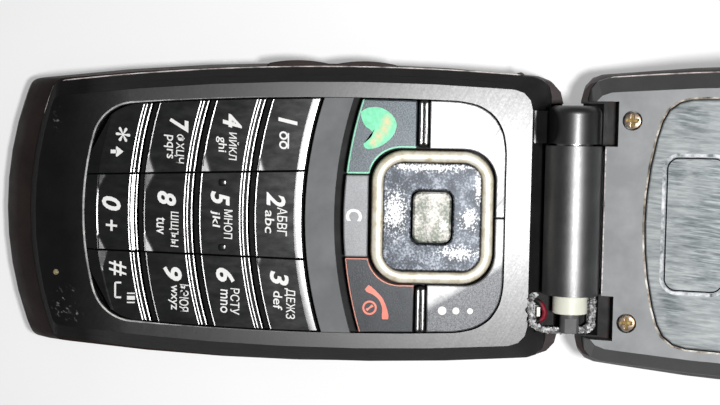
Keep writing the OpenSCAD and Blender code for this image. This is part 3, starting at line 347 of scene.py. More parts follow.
dress("front_cover", black_face, 0.25, 30.0, 4, np.concatenate([opening, opening * (-1, 1)]))

# Worn and lit edges: a thin broken pale line runs along the key opening and along the parting line on the left.
# It is partly black paint rubbed through to pale plastic and partly a painted highlight of the rounded edges.
side_radius, side_middle = 420.0, 11.75
pad_side, pad_end, pad_end_radius = 17.7, -29.75, 46.0
rim_gap, rim_level = 0.3, 10.36
wall_side, wall_radius, parting_level, wear_glint_width = 22.6, 360.0, 8.05, 0.09


def sag(radius, x):
    """Height of a circle's arc above its lowest point, at a distance x to the side."""
    return radius - np.sqrt(np.maximum(radius ** 2 - np.asarray(x, float) ** 2, 0.0))


def heading(path):
    """Direction along a path at each of its points, with the length one."""
    run = np.gradient(path, axis=0)
    return run / np.linalg.norm(run, axis=1, keepdims=True)


def around(sides):
    """Angles spread evenly round a circle."""
    return np.linspace(0, 2 * np.pi, sides, endpoint=False)


def cord(path, radius, sides=8):
    """Thin round cord: at each point of a path in space a ring of the radius there, square to the path, closed at
    both ends."""
    run = heading(path)
    out = np.cross(run, (0.0, 0.0, 1.0))
    out /= np.linalg.norm(out, axis=1, keepdims=True)
    turn = around(sides)[None, :, None]
    reach = np.broadcast_to(radius, len(path)).copy()
    reach[[0, -1]] = 0.0
    ring = out[:, None] * np.cos(turn) + np.cross(out, run)[:, None] * np.sin(turn)
    return path[:, None] + reach[:, None, None] * ring, lattice(len(path), sides)


def lifted(path, level):
    """A path in plan, set at one height."""
    return np.concatenate([path, np.full((len(path), 1), level)], -1)


def wear(name, stops, size):
    """Paint rubbed through: blotches of paint and bare plastic in several tones;
    on the pale edge lines the pale tones also stand for a painted highlight.
    """
    made, tree, surface = coating(name, Roughness=0.5, Specular_IOR_Level=0.3)
    lay(surface, Base_Color=speckle(tree, size, stops), Normal=raised(tree, mottle(tree, 0.2), 0.01))
    return made


# Pale bead along the key opening: rubbed paint and a painted highlight of its edge.
rim_wear_glint = wear("rim_wear_glint", [(0.3, (0.14, 0.14, 0.145)), (0.5, 0.42), (0.7, (0.72, 0.71, 0.68))], 2.0)
side_y = np.linspace(-22.7, 27.0, 60)
turn = np.radians(np.linspace(-75.3, -4.7, 24))
end_x = np.linspace(0.0, 11.6, 24)
right_rim = np.concatenate([np.stack([end_x, pad_end - rim_gap + sag(pad_end_radius, end_x)], -1),
                            np.stack([10.02 + 6.6 * np.cos(turn), -22.15 + 6.6 * np.sin(turn)], -1),
                            np.stack([pad_side + rim_gap - sag(side_radius, side_y - side_middle), side_y], -1)])
rim = np.concatenate([right_rim[:0:-1] * (-1, 1), right_rim])
rim_size = np.interp(rim[:, 1], [-30.0, -22.0, -15.0, 27.0], [0.17, 0.14, 0.05, 0.03])
build("pad_rim", *cord(lifted(rim, rim_level), rim_size), rim_wear_glint, "base", "front_plastic")
# Pale line along the parting line on the left: rubbed paint and a painted highlight of the rounded edge.
pale_tones = [(0.28, (0.03, 0.027, 0.027)), (0.42, (0.40, 0.35, 0.34)), (0.6, (0.80, 0.74, 0.72))]
pale_wear_glint = wear("pale_wear_glint", pale_tones, 2.5)
low_y = np.linspace(36.0, -33.4, 90)
fade_x = np.linspace(-18.8, -14.5, 12)
parting = np.concatenate([np.stack([sag(wall_radius, low_y - side_middle) - wall_side, low_y], -1),
                          np.stack([fade_x, -38.5 + sag(54.0, fade_x)], -1)])
build("parting_glint_wear", *cord(lifted(parting, parting_level), wear_glint_width), pale_wear_glint, "base", "front_plastic")

# Microphone gauze: a disc of tan felt pressed into the small hole at the bottom end of the front cover.
# It keeps dust off the microphone, which sits right below it.


def plug(outline, low, high):
    """Flat filled shape: an outline drawn in to its middle, with an underside at low and a top at high."""
    outline = np.asarray(outline, float)
    middle = outline.mean(0)
    reach = np.array([0.0, 1.0, 1.0, 0.0])[:, None, None]
    height = np.array([low, low, high, high])[:, None, None] + 0 * outline[None, :, :1]
    return np.concatenate([middle + reach * (outline - middle), height], -1), lattice(4, len(outline))


def post(x, y, radius, low, high, sides=20):
    """Round post: a filled circle."""
    turn = around(sides)
    return plug(np.stack([x + radius * np.cos(turn), y + radius * np.sin(turn)], -1), low, high)


tan_felt = wear("tan_felt", [(0.35, (0.10, 0.08, 0.04)), (0.5, (0.26, 0.22, 0.12)), (0.65, (0.40, 0.34, 0.20))], 0.25)
hole_x, hole_y = np.sum(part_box("microphone"), 0)[:2] * 500.0
build("microphone_gauze", *post(hole_x, hole_y, 0.42, 9.9, 10.28, 24), tan_felt, "base", "front_plastic")

# Works inside: mat, domes, boards, cell, motor, hinge springs and ribbons, all out of sight when the phone is whole.
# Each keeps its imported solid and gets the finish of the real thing: rubber, sheet steel, board, foil, brass.


def sheet_metal(name, dark, pale, rough, size):
    """Bare metal: rolling marks in two tones, dull and bright by turns."""
    made, tree, surface = coating(name, Metallic=1.0)
    marks = mottle(tree, size, (6, 1, 1))
    lay(surface, Base_Color=tones(tree, marks, [(0.3, dark), (0.7, pale)]),
        Roughness=ranged(tree, marks, 0.3, 0.7, rough, rough + 0.15), Normal=raised(tree, marks, 0.004))
    return made


dark_glass = moulding("dark_glass", (0.006, 0.007, 0.010), (0.010, 0.011, 0.016), 0.08, 3.0, 0.002)
inside = {
    moulding("dark_mat", (0.010, 0.010, 0.011), (0.020, 0.020, 0.021), 0.6, 0.4, 0.01, 0.2): ["keymat", "nav_pusher"],
    moulding("black_rubber", 0.010, 0.020, 0.6, 0.3, 0.02): ["lid_bumpers"],
    moulding("green_board", (0.010, 0.085, 0.040), (0.020, 0.130, 0.060), 0.35, 0.5, 0.01): ["main_board", "lid_board"],
    moulding("cell_wrap", (0.30, 0.31, 0.33), (0.38, 0.39, 0.41), 0.4, 0.3, 0.01): ["battery"],
    moulding("sound_can", (0.02, 0.02, 0.022), (0.05, 0.05, 0.055), 0.5, 0.2, 0.02): [
        "microphone", "loudspeaker", "earpiece"],
    moulding("amber_ribbon", (0.33, 0.15, 0.035), (0.42, 0.20, 0.05), 0.3, 0.6, 0.008): ["base_flex", "lid_flex"],
    sheet_metal("steel", (0.42, 0.42, 0.43), (0.58, 0.58, 0.59), 0.25, 0.3): [
        "vibration_motor", "base_screws", "hinge_pin", "hinge_can", "hinge_spring", "vibration_weight"],
    sheet_metal("tinned_steel", 0.55, (0.66, 0.66, 0.65), 0.3, 0.8): [
        "dome_sheet", "rf_shield", "data_connector", "sim_holder"],
    sheet_metal("brass", (0.55, 0.38, 0.14), (0.70, 0.50, 0.20), 0.25, 0.4): [
        "battery_contacts", "antenna", "lid_screws"],
    dark_glass: ["display_module", "outer_window"],
}
for material, nodes in inside.items():
    for node in nodes:
        for place in frame["nodes"][node].material_slots:
            place.material = material

# Number keys: twelve caps of glossy black plastic on the rubber mat, in four rows that arch across the pad.
# Each cap steps down towards the hinge in fine ledges and has a low lip along its near edge.
hinge_y = 43.75
row_top, row_pitch, row_radius, row_gap = 40.5, 8.37, 60.0, 0.1
column_pitch, column_x, column_run, column_gap = 12.0, 6.7, 31.5, 0.06
corner_y, corner_radius = -22.0, 6.3
cap_level, key_level, mat_level = 8.6, 10.7, 8.07
plunger_x, plunger_radius = 11.8, 1.1
glare_y, glare_reach = 33.0, 190.0
steps_along, steps_across = 27, 37
near_lip = np.array([(0.0, -0.3), (0.06, -0.22), (1.5, -0.08), (1.62, -0.02), (1.7, 0.0), (1.76, 0.0), (1.95, 0.0)])
near_step = np.array([(0.0, -0.7), (0.06, -0.57), (0.72, -0.5), (0.8, 0.0), (0.86, 0.025), (0.92, 0.025), (1.04, 0.0)])
ledge_at = np.array([0.0, 0.03, 0.18, 0.63, 0.67, 0.82, 1.08, 1.12, 1.27])
broad_ledge = np.array([0.0, 0.03, 0.18, 0.42, 0.46, 0.9, 1.08, 1.12, 1.27])
ledge_rise = np.array([0.15, 0.0, 0.0, 0.05, 0.0, 0.0, 0.05, 0.0])
ledge_bright = np.array([0, 1, 0, 0, 1, 0, 0, 1])
side_round = np.array([(0.0, -0.3), (0.02, -0.1), (0.06, -0.02), (0.12, 0.0)])


def row_edge(row, x):
    """Line between two rows: an arc of the row radius, one pitch nearer for each row."""
    return hinge_y - row_top - row_pitch * row + sag(row_radius, x)


def gather(*shapes):
    """Several point grids and their faces as one set of points and faces."""
    points = [p.reshape(-1, 3) for p, f in shapes]
    starts = np.cumsum([0] + [len(p) for p in points])
    return np.concatenate(points), np.concatenate([f + start for (p, f), start in zip(shapes, starts)])


def number_cap(row, column, chip, lip, ledges):
    """Key cap over a grid between column lines and row arcs: its height is the top level plus a lip by the distance to
    the near edge, ledges by that to the far edge, rounded sides and a worn slope at the near inner corner."""
    slope = (glare_y - row_edge(row, 0.0)) / glare_reach
    if row == 0:
        far = np.array([(0.0, -0.7), (0.06, -0.45), (0.14, -0.4), (0.2, -0.15 - 1.1 * slope), (0.3, -1.1 * slope),
                        (1.4, 0.0)])
    else:
        climb = np.diff(ledges) * slope * ledge_bright
        rise = np.concatenate([[0.0], np.cumsum(climb + ledge_rise)])
        far = np.stack([ledges, rise - rise[-1]], -1)
    near = near_step if row < 3 else near_lip + lip * np.array([0, 0, 0, 0, 1, 1, 0])[:, None] * (0, 1)
    spread = np.linspace(0, 1, steps_along)
    near_edge = near[-1, 0] + 0.03
    far_edge = far[-1, 0] + 0.03
    along = np.concatenate([near[:, 0], near_edge + (-far_edge - near_edge) * spread, -far[::-1, 0]])[:, None]
    share_y = np.pad(spread, (len(near), len(far)), mode="edge")[:, None]
    across = np.concatenate([side_round[:, 0], np.linspace(0.16, -0.16, steps_across), -side_round[::-1, 0]])
    share_x = np.pad(np.linspace(0, 1, steps_across), len(side_round), mode="edge")
    x = column_pitch * column + 0 * along + 0 * across
    for settle in range(4):
        low = row_edge(row + 1, x) + row_gap if row < 3 else pad_end + sag(pad_end_radius, x)
        high = row_edge(row, x) - row_gap
        y = low + along + share_y * (high - low)
        line = column_x + (y - row_edge(0, 0.0)) / column_run
        left = line + column_gap if column else column_gap - line
        outer = pad_side - sag(side_radius, y - side_middle)
        if row == 3:
            outer = outer - sag(corner_radius, np.clip(corner_y - y, 0.0, corner_radius))
        end = outer if column else line - column_gap
        x = left + across + share_x * (end - left)
    rise = np.interp(y - low, near[:, 0], near[:, 1]) + np.interp(high - y, far[:, 0], far[:, 1])
    rise = rise + np.interp(np.minimum(x - left, end - x), side_round[:, 0], side_round[:, 1])
    inner = x - left if column else np.minimum(x - left, end - x)
    past = y - low - near[-3, 0]
    rise = rise + slope * np.maximum(0.0, chip - past - 0.43 * inner) * (past > -0.02)
    x, y = np.pad(x, 1, mode="edge"), np.pad(y, 1, mode="edge")
    top = np.stack([x, y, np.pad(key_level + rise, 1, constant_values=cap_level)], -1)
    under = np.stack([x, y, 0 * x + cap_level], -1)
    faces = lattice(*x.shape, False)
    spot = plunger_x * column * (0.9 if row == 3 else 1.0)
    plunger = post(spot, row_edge(row + 0.5, spot) + 0.5 * (row == 3), plunger_radius, mat_level, cap_level)
    return gather((top, faces), (under, faces), plunger)


key_gloss, tree, surface = coating("key_gloss", Specular_IOR_Level=0.8)
lay(surface, Base_Color=speckle(tree, 3.0, [(0.35, (0.0045, 0.005, 0.0055)), (0.7, 0.009)]),
    Roughness=ranged(tree, mottle(tree, 1.2, (1, 2.5, 1)), 0.35, 0.7, 0.22, 0.29),
    Normal=raised(tree, mottle(tree, 0.5), 0.0015))
number_keys = [f"key_{sign}" for sign in (1, 2, 3, 4, 5, 6, 7, 8, 9, "star", 0, "hash")]
lips = {"key_0": 0.055, "key_hash": 0.035}
worn_corners = {"key_1": 1.0, "key_3": 0.7, "key_4": 1.3, "key_7": 1.3, "key_8": 1.3, "key_0": 1.1,
                "key_hash": 1.4}
for place, node in enumerate(number_keys):
    points, faces = number_cap(place // 3, abs(place % 3 - 1), worn_corners.get(node, 0.0), lips.get(node, 0.0),
                               broad_ledge if node == "key_0" else ledge_at)
    points[:, 0] *= -1 if place % 3 == 0 else 1
    key = build(node + "_cap", points, faces, key_gloss, node, "key_black", 11.0)
    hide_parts(node)

# Legends: white numbers and letter groups printed on the caps, with small signs on the lowest row.
# Each is a thin film of ink that rides on its key.
ink_lift, ink_thick = 0.008, 0.03


def points_of(mesh):
    """All points of a mesh, in its own units."""
    co = np.empty(len(mesh.vertices) * 3)
    mesh.vertices.foreach_get("co", co)
    return co.reshape(-1, 3)


def legend(name, body, marks, level, ink, shapes=(), slant=0.25, bold=0.014):
    """Printed marks: each text is drawn as a flat curve, made a mesh, fitted to its width and height and set in place;
    further shapes are point grids."""
    work = bmesh.new()
    for text, x, y, width, height in marks:
        line = bpy.data.curves.new(name, "FONT")
        line.body = text
        line.shear = slant if text.isdigit() else 0.4 * slant
        line.offset = bold * (2.0 if text.isdigit() else 0.6)
        line.resolution_u = 3
        line.extrude = 0.1
        drawn = bpy.data.objects.new(name, line)
        scene.collection.objects.link(drawn)
        bpy.context.view_layer.update()
        flat = bpy.data.meshes.new_from_object(drawn.evaluated_get(bpy.context.evaluated_depsgraph_get()))
        co = points_of(flat)
        low, high = co.min(0), co.max(0)
        middle, extent = (low + high) / 2, high - low
        co = (co - middle) / extent * (width, height, ink_thick) + (x, y, level)
        flat.vertices.foreach_set("co", (co * 0.001).ravel())
        work.from_mesh(flat)
        bpy.data.objects.remove(drawn)
        bpy.data.meshes.remove(flat)
        bpy.data.curves.remove(line)
    for points, faces in shapes:
        load(work, points, faces)
    bmesh.ops.remove_doubles(work, verts=work.verts, dist=1e-7)
    bmesh.ops.recalc_face_normals(work, faces=work.faces)
    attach(piece_from(work, name, ink), body)


def flow(points, each=10):
    """Smooth path through points: between two neighbours a cubic whose slopes follow the points on either side."""
    p = np.asarray(points, float)
    p = np.concatenate([2 * p[:1] - p[1:2], p, 2 * p[-1:] - p[-2:-1]])
    u = np.linspace(0, 1, each, endpoint=False)[None, :, None]
    a, b, c, d = p[:-3, None], p[1:-2, None], p[2:-1, None], p[3:, None]
    run = b + u * (c - a) / 2 + u ** 2 * (a - 2.5 * b + 2 * c - d / 2) + u ** 3 * (1.5 * (b - c) + (d - a) / 2)
    return np.concatenate([run.reshape(-1, p.shape[1]), p[-2:-1]])


def stroke(path, half, level, thick=ink_thick):
    """Flat stroke: a path widened by half to each side along its own normal, with a top and an underside."""
    path = np.asarray(path, float)
    run = heading(path)
    out = np.stack([-run[:, 1], run[:, 0]], -1) * np.broadcast_to(half, len(path))[:, None]
    sides = np.stack([path + out, path - out, path - out, path + out], 1)
    low, high = level - thick / 2, level + thick / 2
    ring = np.concatenate([sides, np.broadcast_to([high, high, low, low], (len(path), 4))[..., None]], -1)
    first, last = (ring[[i]].mean(1, keepdims=True).repeat(4, 1) for i in (0, -1))
    ring = np.concatenate([first, ring, last])
    return ring, lattice(len(ring), 4)


white_ink = moulding("white_ink", (0.82, 0.82, 0.80), (0.92, 0.92, 0.91), 0.4, 0.3, 0.002)
ink_level = key_level + ink_lift
digit = (2.2, 2.85)
number_print = {
    "key_1": [("1", -14.11, 0.68, 1.2, 2.85), ("oo", -11.25, 0.05, 2.7, 1.3)],
    "key_2": [("2", -2.33, -0.94, *digit), ("АБВГ", 1.05, 0.02, 4.4, 1.5), ("abc", 1.08, -1.87, 3.5, 1.4)],
    "key_3": [("3", 9.62, -0.3, *digit), ("ДЕЖЗ", 13.47, 1.35, 4.7, 1.65), ("def", 13.04, -0.47, 2.9, 1.4)],
    "key_4": [("4", -14.01, -7.66, *digit), ("ИЙКЛ", -10.2, -7.38, 4.2, 1.5), ("ghi", -10.47, -9.27, 2.4, 1.65)],
    "key_5": [("5", -2.33, -9.38, *digit), ("МНОП", 1.57, -8.12, 4.5, 1.3), ("jkl", 0.78, -10.09, 2.6, 1.5)],
    "key_6": [("6", 9.3, -8.46, *digit), ("РСТУ", 13.3, -6.97, 4.1, 1.4), ("mno", 13.25, -8.63, 3.6, 1.1)],
    "key_7": [("7", -13.2, -15.68, *digit), ("ФХЦЧ", -9.67, -15.56, 4.4, 1.5), ("pqrs", -10.02, -17.22, 3.6, 1.4)],
    "key_8": [("8", -2.19, -17.42, *digit), ("ШЩЪЫ", 2.47, -16.31, 5.4, 1.4), ("tuv", 1.98, -18.28, 2.6, 1.35)],
    "key_9": [("9", 9.21, -16.46, *digit), ("ЬЭЮЯ", 12.89, -14.68, 4.2, 1.4), ("wxyz", 12.85, -16.41, 3.8, 1.3)],
    "key_star": [("*", -11.69, -24.06, 2.2, 2.2)],
    "key_0": [("0", -1.28, -25.75, *digit), ("+", 2.03, -25.71, 1.7, 1.7)],
    "key_hash": [("#", 8.52, -24.74, 2.3, 2.6)],
}
arrow_shaft = stroke([(-9.12, -25.9), (-9.12, -25.0)], 0.28, ink_level)
arrow_head = stroke([(-9.12, -25.1), (-9.12, -24.9), (-9.12, -24.0)], [0.75, 0.75, 0.02], ink_level)
bracket = stroke([(10.7, -24.2), (10.7, -25.0), (10.75, -25.1), (12.9, -25.1), (12.95, -25.0), (12.95, -24.2)],
                 0.14, ink_level)
joint_bar = stroke([(-12.35, 0.78), (-10.0, 0.78)], 0.11, ink_level)
buzzer = [stroke([(x, -23.3), (x, -22.1)], half, ink_level) for x, half in ((12.3, 0.1), (13.0, 0.3), (13.7, 0.1))]
number_signs = {"key_star": [arrow_shaft, arrow_head], "key_hash": [bracket, *buzzer], "key_1": [joint_bar]}
for node in number_keys:
    legend(node + "_print", node, number_print[node], ink_level, white_ink, number_signs.get(node, ()))

# Raised bars of the five key: two short beads beside the number, moulded in one with the cap.
# Fingers find the middle key by them.


def bead(x, y, half_x, half_y, level, height, sides=28, rings=7):
    """Low dome on an oval: rings of shrinking size, each at the height of a quarter ellipse, closed below."""
    turn = around(sides)
    lift = np.linspace(0, np.pi / 2, rings)
    reach = np.concatenate([[0.0], np.cos(lift)])[:, None]
    rise = np.concatenate([[-0.1], height * np.sin(lift)])[:, None]
    wave = [np.abs(part) ** 0.6 * np.sign(part) for part in (np.cos(turn), np.sin(turn))]
    points = np.stack([x + half_x * reach * wave[0], y + half_y * reach * wave[1], level + rise + 0 * turn], -1)
    return points, lattice(rings + 1, sides)


bars = [bead(x, y, 0.55, 0.62, key_level, 0.14) for x, y in ((-4.75, -9.05), (5.07, -9.0))]
build("key_5_bars", *gather(*bars), key_gloss, "key_5", "key_black")

# Grey strip: a painted plastic arch between the number keys and the cluster, snapped into the front cover.
# Its paint is matt and finely pitted.
strip_paint = moulding("strip_paint", (0.145, 0.15, 0.155), (0.19, 0.195, 0.20), 0.6, 0.18, 0.012, 0.2)
dress("keypad_strip", strip_paint, 0.08)

# Call keys: clear plastic, painted metallic grey on top, so green or red light leaks from their bare edges.
# Their signs and edges carry the colour; each key is one cap with a plunger.


def flecked(name, dark, pale, rough, fleck=0.16, metallic=0.5):
    """Metallic paint: tiny flakes of two tones over soft clouds, each flake a little tilted."""
    made, tree, surface = coating(name, Metallic=metallic)
    flakes = mottle(tree, fleck, (1, 1, 1), 1.0)
    clouds = mottle(tree, 3.5)
    both = joined(tree, "ADD", flakes, ranged(tree, clouds, 0.3, 0.7, -0.1, 0.1))
    paint = tones(tree, both, [(0.38, dark), (0.62, pale)])
    lay(surface, Base_Color=paint, Roughness=ranged(tree, clouds, 0.3, 0.7, rough, rough + 0.12),
        Normal=raised(tree, flakes, 0.012))
    return made, tree, surface, paint


def lit_edge(name, tint, inner, dark, pale):
    """Flecked paint whose bare edges show a tint: the mask is how far the surface faces the strip or the inner side."""
    made, tree, surface, paint = flecked(name, dark, pale, 0.36)
    facing = where(tree, "Normal")
    bare = joined(tree, "MAXIMUM", ranged(tree, facing["Y"], -0.05, -0.2),
                  ranged(tree, facing["X"], 0.05 * inner, 0.2 * inner))
    light = speckle(tree, 0.6, [(0.3, tint), (0.7, tuple(min(1.0, 1.25 * part) for part in tint))])
    lay(surface, Base_Color=blended(tree, bare, paint, light), Metallic=ranged(tree, bare, 0.0, 1.0, 0.5, 0.0))
    return made


send_paint = lit_edge("send_paint", (0.36, 0.80, 0.58), 1.0, (0.03, 0.036, 0.042), (0.10, 0.118, 0.13))
end_paint = lit_edge("end_paint", (0.84, 0.36, 0.28), -1.0, (0.012, 0.014, 0.016), (0.042, 0.045, 0.050))
dress("send_key", send_paint, 0.75, segments=5)
dress("end_key", end_paint, 0.75, segments=5)
function_level = 10.55 + ink_lift
green_ink, tree, surface = coating("green_ink", Roughness=0.4)
green = speckle(tree, 0.8, [(0.35, (0.09, 0.62, 0.31)), (0.65, (0.17, 0.80, 0.45))])
# Painted highlight: soft gold patches on the green sign stand for a glint of the lamp.
glint_colour = speckle(tree, 0.5, [(0.35, (0.50, 0.60, 0.26)), (0.65, (0.86, 0.56, 0.30))])
glint_spots = [(-14.3, 15.6, 0.75, 0.55), (-13.2, 15.2, 0.75, 0.5), (-12.1, 14.4, 0.7, 0.5), (-11.2, 13.6, 0.5, 0.45)]
shine = patches(tree, glint_spots, 0.9)
lay(surface, Base_Color=blended(tree, shine, green, glint_colour), Normal=raised(tree, mottle(tree, 0.25), 0.004))
red_ink = moulding("red_ink", (0.80, 0.15, 0.09), (0.90, 0.24, 0.16), 0.35, 0.25, 0.004)
leaf = flow([(-15.75, 11.64), (-16.27, 12.48), (-16.49, 13.73), (-16.26, 14.99), (-15.43, 16.26), (-14.2, 16.99),
             (-13.09, 16.91), (-11.98, 16.33), (-11.06, 15.34), (-10.43, 14.2), (-10.16, 12.99), (-10.35, 12.34),
             (-10.9, 12.08), (-11.26, 12.47), (-11.92, 13.16), (-12.53, 13.4), (-13.12, 13.04), (-13.51, 12.43),
             (-14.11, 12.02), (-15.0, 11.7), (-15.75, 11.64)], 4)[:-1]
legend("send_sign", "send_key", [], function_level, green_ink,
       [plug(leaf, function_level - ink_thick / 2, function_level + ink_thick / 2)])
hook = flow([(10.8, 12.95, 0.42), (11.1, 13.35, 0.52), (11.65, 14.2, 0.36), (12.6, 15.15, 0.3), (13.9, 15.7, 0.34),
             (15.1, 15.85, 0.5), (15.65, 15.85, 0.45)])
ring_turn = np.linspace(0, 2 * np.pi, 41)
ring_path = np.stack([13.93 + 0.95 * np.cos(ring_turn), 13.47 + 0.95 * np.sin(ring_turn)], -1)
legend("end_sign", "end_key", [], function_level, red_ink,
       [stroke(hook[:, :2], hook[:, 2], function_level), stroke(ring_path, 0.15, function_level),
        stroke([(14.3, 13.0), (13.95, 13.45), (13.55, 13.95)], [0.22, 0.12, 0.22], function_level)])

# Clear key and soft keys: caps painted metallic grey, with a white letter and three dots; the soft keys carry a painted
# highlight.
# They rest on the same mat as the number keys.
# Left soft key: light grey all over as a painted highlight, turning to darker streaks towards the hinge end.
glare_grey_paint, tree, surface, paint = flecked("glare_grey_paint", (0.42, 0.43, 0.44), (0.66, 0.67, 0.68), 0.34, 0.14, 0.2)
shade = tones(tree, mottle(tree, 0.5, (8, 1, 1), 3.0, 0.6), [(0.35, 0.16), (0.65, 0.55)])
lay(surface, Base_Color=blended(tree, ranged(tree, where(tree)["Y"], 0.0285, 0.0325, 0.0, 0.9), paint, shade))
# Right soft key: dark grey, with a painted highlight (glare) on the side of a slanting line nearer the keys and the
# middle.
soft_paint, tree, surface, paint = flecked("soft_paint", (0.06, 0.065, 0.072), (0.19, 0.195, 0.205), 0.4, 0.14, 0.2)
place = where(tree)
slant = add(tree, "Math", {0: place["Y"], 1: 0.6, 2: place["X"]}, operation="MULTIPLY_ADD").outputs[0]
glare = speckle(tree, 0.6, [(0.3, 0.5), (0.6, 0.8)])
lay(surface, Base_Color=blended(tree, ranged(tree, slant, 0.0278, 0.0258), paint, glare))
clear_paint = flecked("clear_paint", (0.22, 0.225, 0.235), (0.30, 0.305, 0.315), 0.42, 0.14, 0.2)[0]
dress("clear_key", clear_paint, 0.25, segments=3)
key_bends = np.array([(17.395, 27.375), (16.436, 30.507), (14.072, 32.774), (10.902, 33.599)])
dress("soft_key_left", glare_grey_paint, 0.2, 40.0, 3, key_bends * (-1, 1))
dress("soft_key_right", soft_paint, 0.2, 40.0, 3, key_bends)
legend("clear_sign", "clear_key", [("C", -0.15, 10.85, 1.9, 2.45)], function_level, white_ink, (), 0.12, 0.05)
dots = [post(14.2, y, radius, function_level - 0.02, function_level + 0.015, 24)
        for y, radius in ((24.5, 0.65), (26.6, 0.53), (28.75, 0.45))]
legend("soft_key_dots", "soft_key_right", [], function_level, white_ink, dots)

# Ribs between call and soft keys: a black slot on each side that holds two bright half-round ribs.
# They are chromed plastic, pushed into the front cover.
chrome, tree, surface = coating("chrome", Metallic=1.0)
lay(surface, Base_Color=speckle(tree, 0.5, [(0.3, 0.62), (0.7, 0.78)]),
    Roughness=ranged(tree, mottle(tree, 0.3), 0.3, 0.7, 0.25, 0.35))
slot_black = moulding("slot_black", 0.004, 0.008, 0.6, 0.3, 0.004, 0.1)
dress("key_separators", slot_black, 0.1)


def rib(middle, reach, y, level, half, height, sides=20, steps=41):
    """Half-round rib: ovals along a line, drawn in at both ends like a quarter circle."""
    turn = around(sides)
    x = middle + reach * np.sin(np.linspace(-np.pi / 2, np.pi / 2, steps))
    past = np.clip((np.abs(x - middle) - (reach - half)) / half, 0, 1)
    girth = np.sqrt(1 - past ** 2)[:, None]
    points = [x[:, None] + 0 * turn, y + half * girth * np.cos(turn), level + height * girth * np.sin(turn)]
    return np.stack(points, -1), lattice(steps, sides)


ribs = [rib(middle, 3.25, 21.15 + shift, 10.64, 0.27, 0.2)
        for middle in (-14.15, 14.15) for shift in (-0.37, 0.37)]
build("bright_ribs", *gather(*ribs), chrome, "base", "bright_trim")

# Navigation key: a champagne-coloured ring round a silver plate, with the select key in its middle.
# Ring and plate rock together; the plate's silver film has gone speckled with use.
# White ovals on the plate and on the select key are painted highlight.
nav_y, nav_width, nav_length, nav_corner = 22.65, 20.2, 18.74, 4.6


def rounded_path(width, length, corner, each=14):
    """Rounded rectangle round the origin: four quarter circles, joined by straight runs."""
    turn = np.linspace(0, np.pi / 2, each)
    turns = np.concatenate([turn + quarter * np.pi / 2 for quarter in range(4)])
    out_x = np.repeat([1, -1, -1, 1], each) * (width / 2 - corner)
    out_y = np.repeat([1, 1, -1, -1], each) * (length / 2 - corner)
    return np.stack([out_x + corner * np.cos(turns), out_y + corner * np.sin(turns)], -1)


ring_profile = [(0.0, 9.4), (0.0, 10.5), (0.06, 10.72), (0.2, 10.88), (0.45, 10.99), (0.95, 11.04), (1.45, 10.98),
                (1.68, 10.86), (1.8, 10.7), (1.85, 10.45), (1.85, 9.4), (0.0, 9.4)]
rings = np.array([lifted(rounded_path(nav_width - 2 * inset, nav_length - 2 * inset, nav_corner - inset) + (0, nav_y),
                         level) for inset, level in ring_profile])
rings[..., 1] += np.where(rings[..., 1] < nav_y, 0.6, -0.3) * (2 * rings[..., 0] / nav_width) ** 2
champagne, tree, surface = coating("champagne", Metallic=0.2, Specular_IOR_Level=0.5)
stain = mottle(tree, 1.6)
paint = tones(tree, stain, [(0.25, (0.44, 0.37, 0.24)), (0.5, (0.70, 0.66, 0.54)), (0.75, (0.84, 0.82, 0.73))])
# The steep sides of the ring are coloured a darker brown than its top.
steep_brown = speckle(tree, 0.5, [(0.35, (0.10, 0.075, 0.045)), (0.65, (0.32, 0.26, 0.17))])
steep = ranged(tree, where(tree, "Normal")["Z"], 0.9, 0.55)
lay(surface, Base_Color=blended(tree, steep, paint, steep_brown), Roughness=ranged(tree, stain, 0.3, 0.7, 0.42, 0.3),
    Normal=raised(tree, mottle(tree, 0.35), 0.01))
ring = build("nav_ring_made", rings, lattice(*rings.shape[:2]), champagne, "nav_key", "nav_rim")
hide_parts("nav_ring")


def worn_film(name, stops, fleck, glare):
    """Worn metal film: flecks in several tones that change from place to place, and white ovals of painted highlight.
    """
    made, tree, surface = coating(name, Metallic=0.15, Specular_IOR_Level=0.28)
    flakes = mottle(tree, fleck, (1, 1, 1), 1.5)
    clouds = ranged(tree, mottle(tree, 2.2), 0.3, 0.7, -0.14, 0.14)
    paint = tones(tree, joined(tree, "ADD", flakes, clouds), stops)
    # Painted highlight: the glare ovals, broken up by the flecks, turn the film white.
    rubbed = patches(tree, glare, 0.8)
    rubbed = joined(tree, "ADD", rubbed, ranged(tree, flakes, 0.3, 0.7, -0.5, 0.5))
    white = tones(tree, clouds, [(0.0, 0.75), (0.1, 0.9)])
    lay(surface, Base_Color=blended(tree, ranged(tree, rubbed, 0.55, 0.95), paint, white),
        Roughness=ranged(tree, flakes, 0.3, 0.7, 0.35, 0.5), Normal=raised(tree, flakes, 0.008))
    return made


silver_tones = [(0.36, (0.02, 0.026, 0.038)), (0.52, (0.09, 0.105, 0.13)), (0.7, (0.34, 0.365, 0.41))]
# Glare ovals: where a highlight is painted on the nav plate and the select key.
plate_glare = [(-0.8, 17.0, 3.2, 1.8), (-7.6, 22.0, 0.7, 6.5), (5.4, 26.6, 1.0, 2.8), (0.2, 28.3, 1.6, 1.4),
               (-4.8, 29.6, 2.6, 0.6)]
select_tones = [(0.34, (0.10, 0.12, 0.095)), (0.5, (0.33, 0.32, 0.285)), (0.68, (0.60, 0.585, 0.56))]
silver_film = worn_film("silver_film", silver_tones, 0.3, plate_glare)
select_film = worn_film("select_film", select_tones, 0.34, [(1.2, 24.4, 0.8, 0.7)])
dress("nav_plate", silver_film, 0.2, segments=3)
dress("ok_key", select_film, 0.5, segments=3)

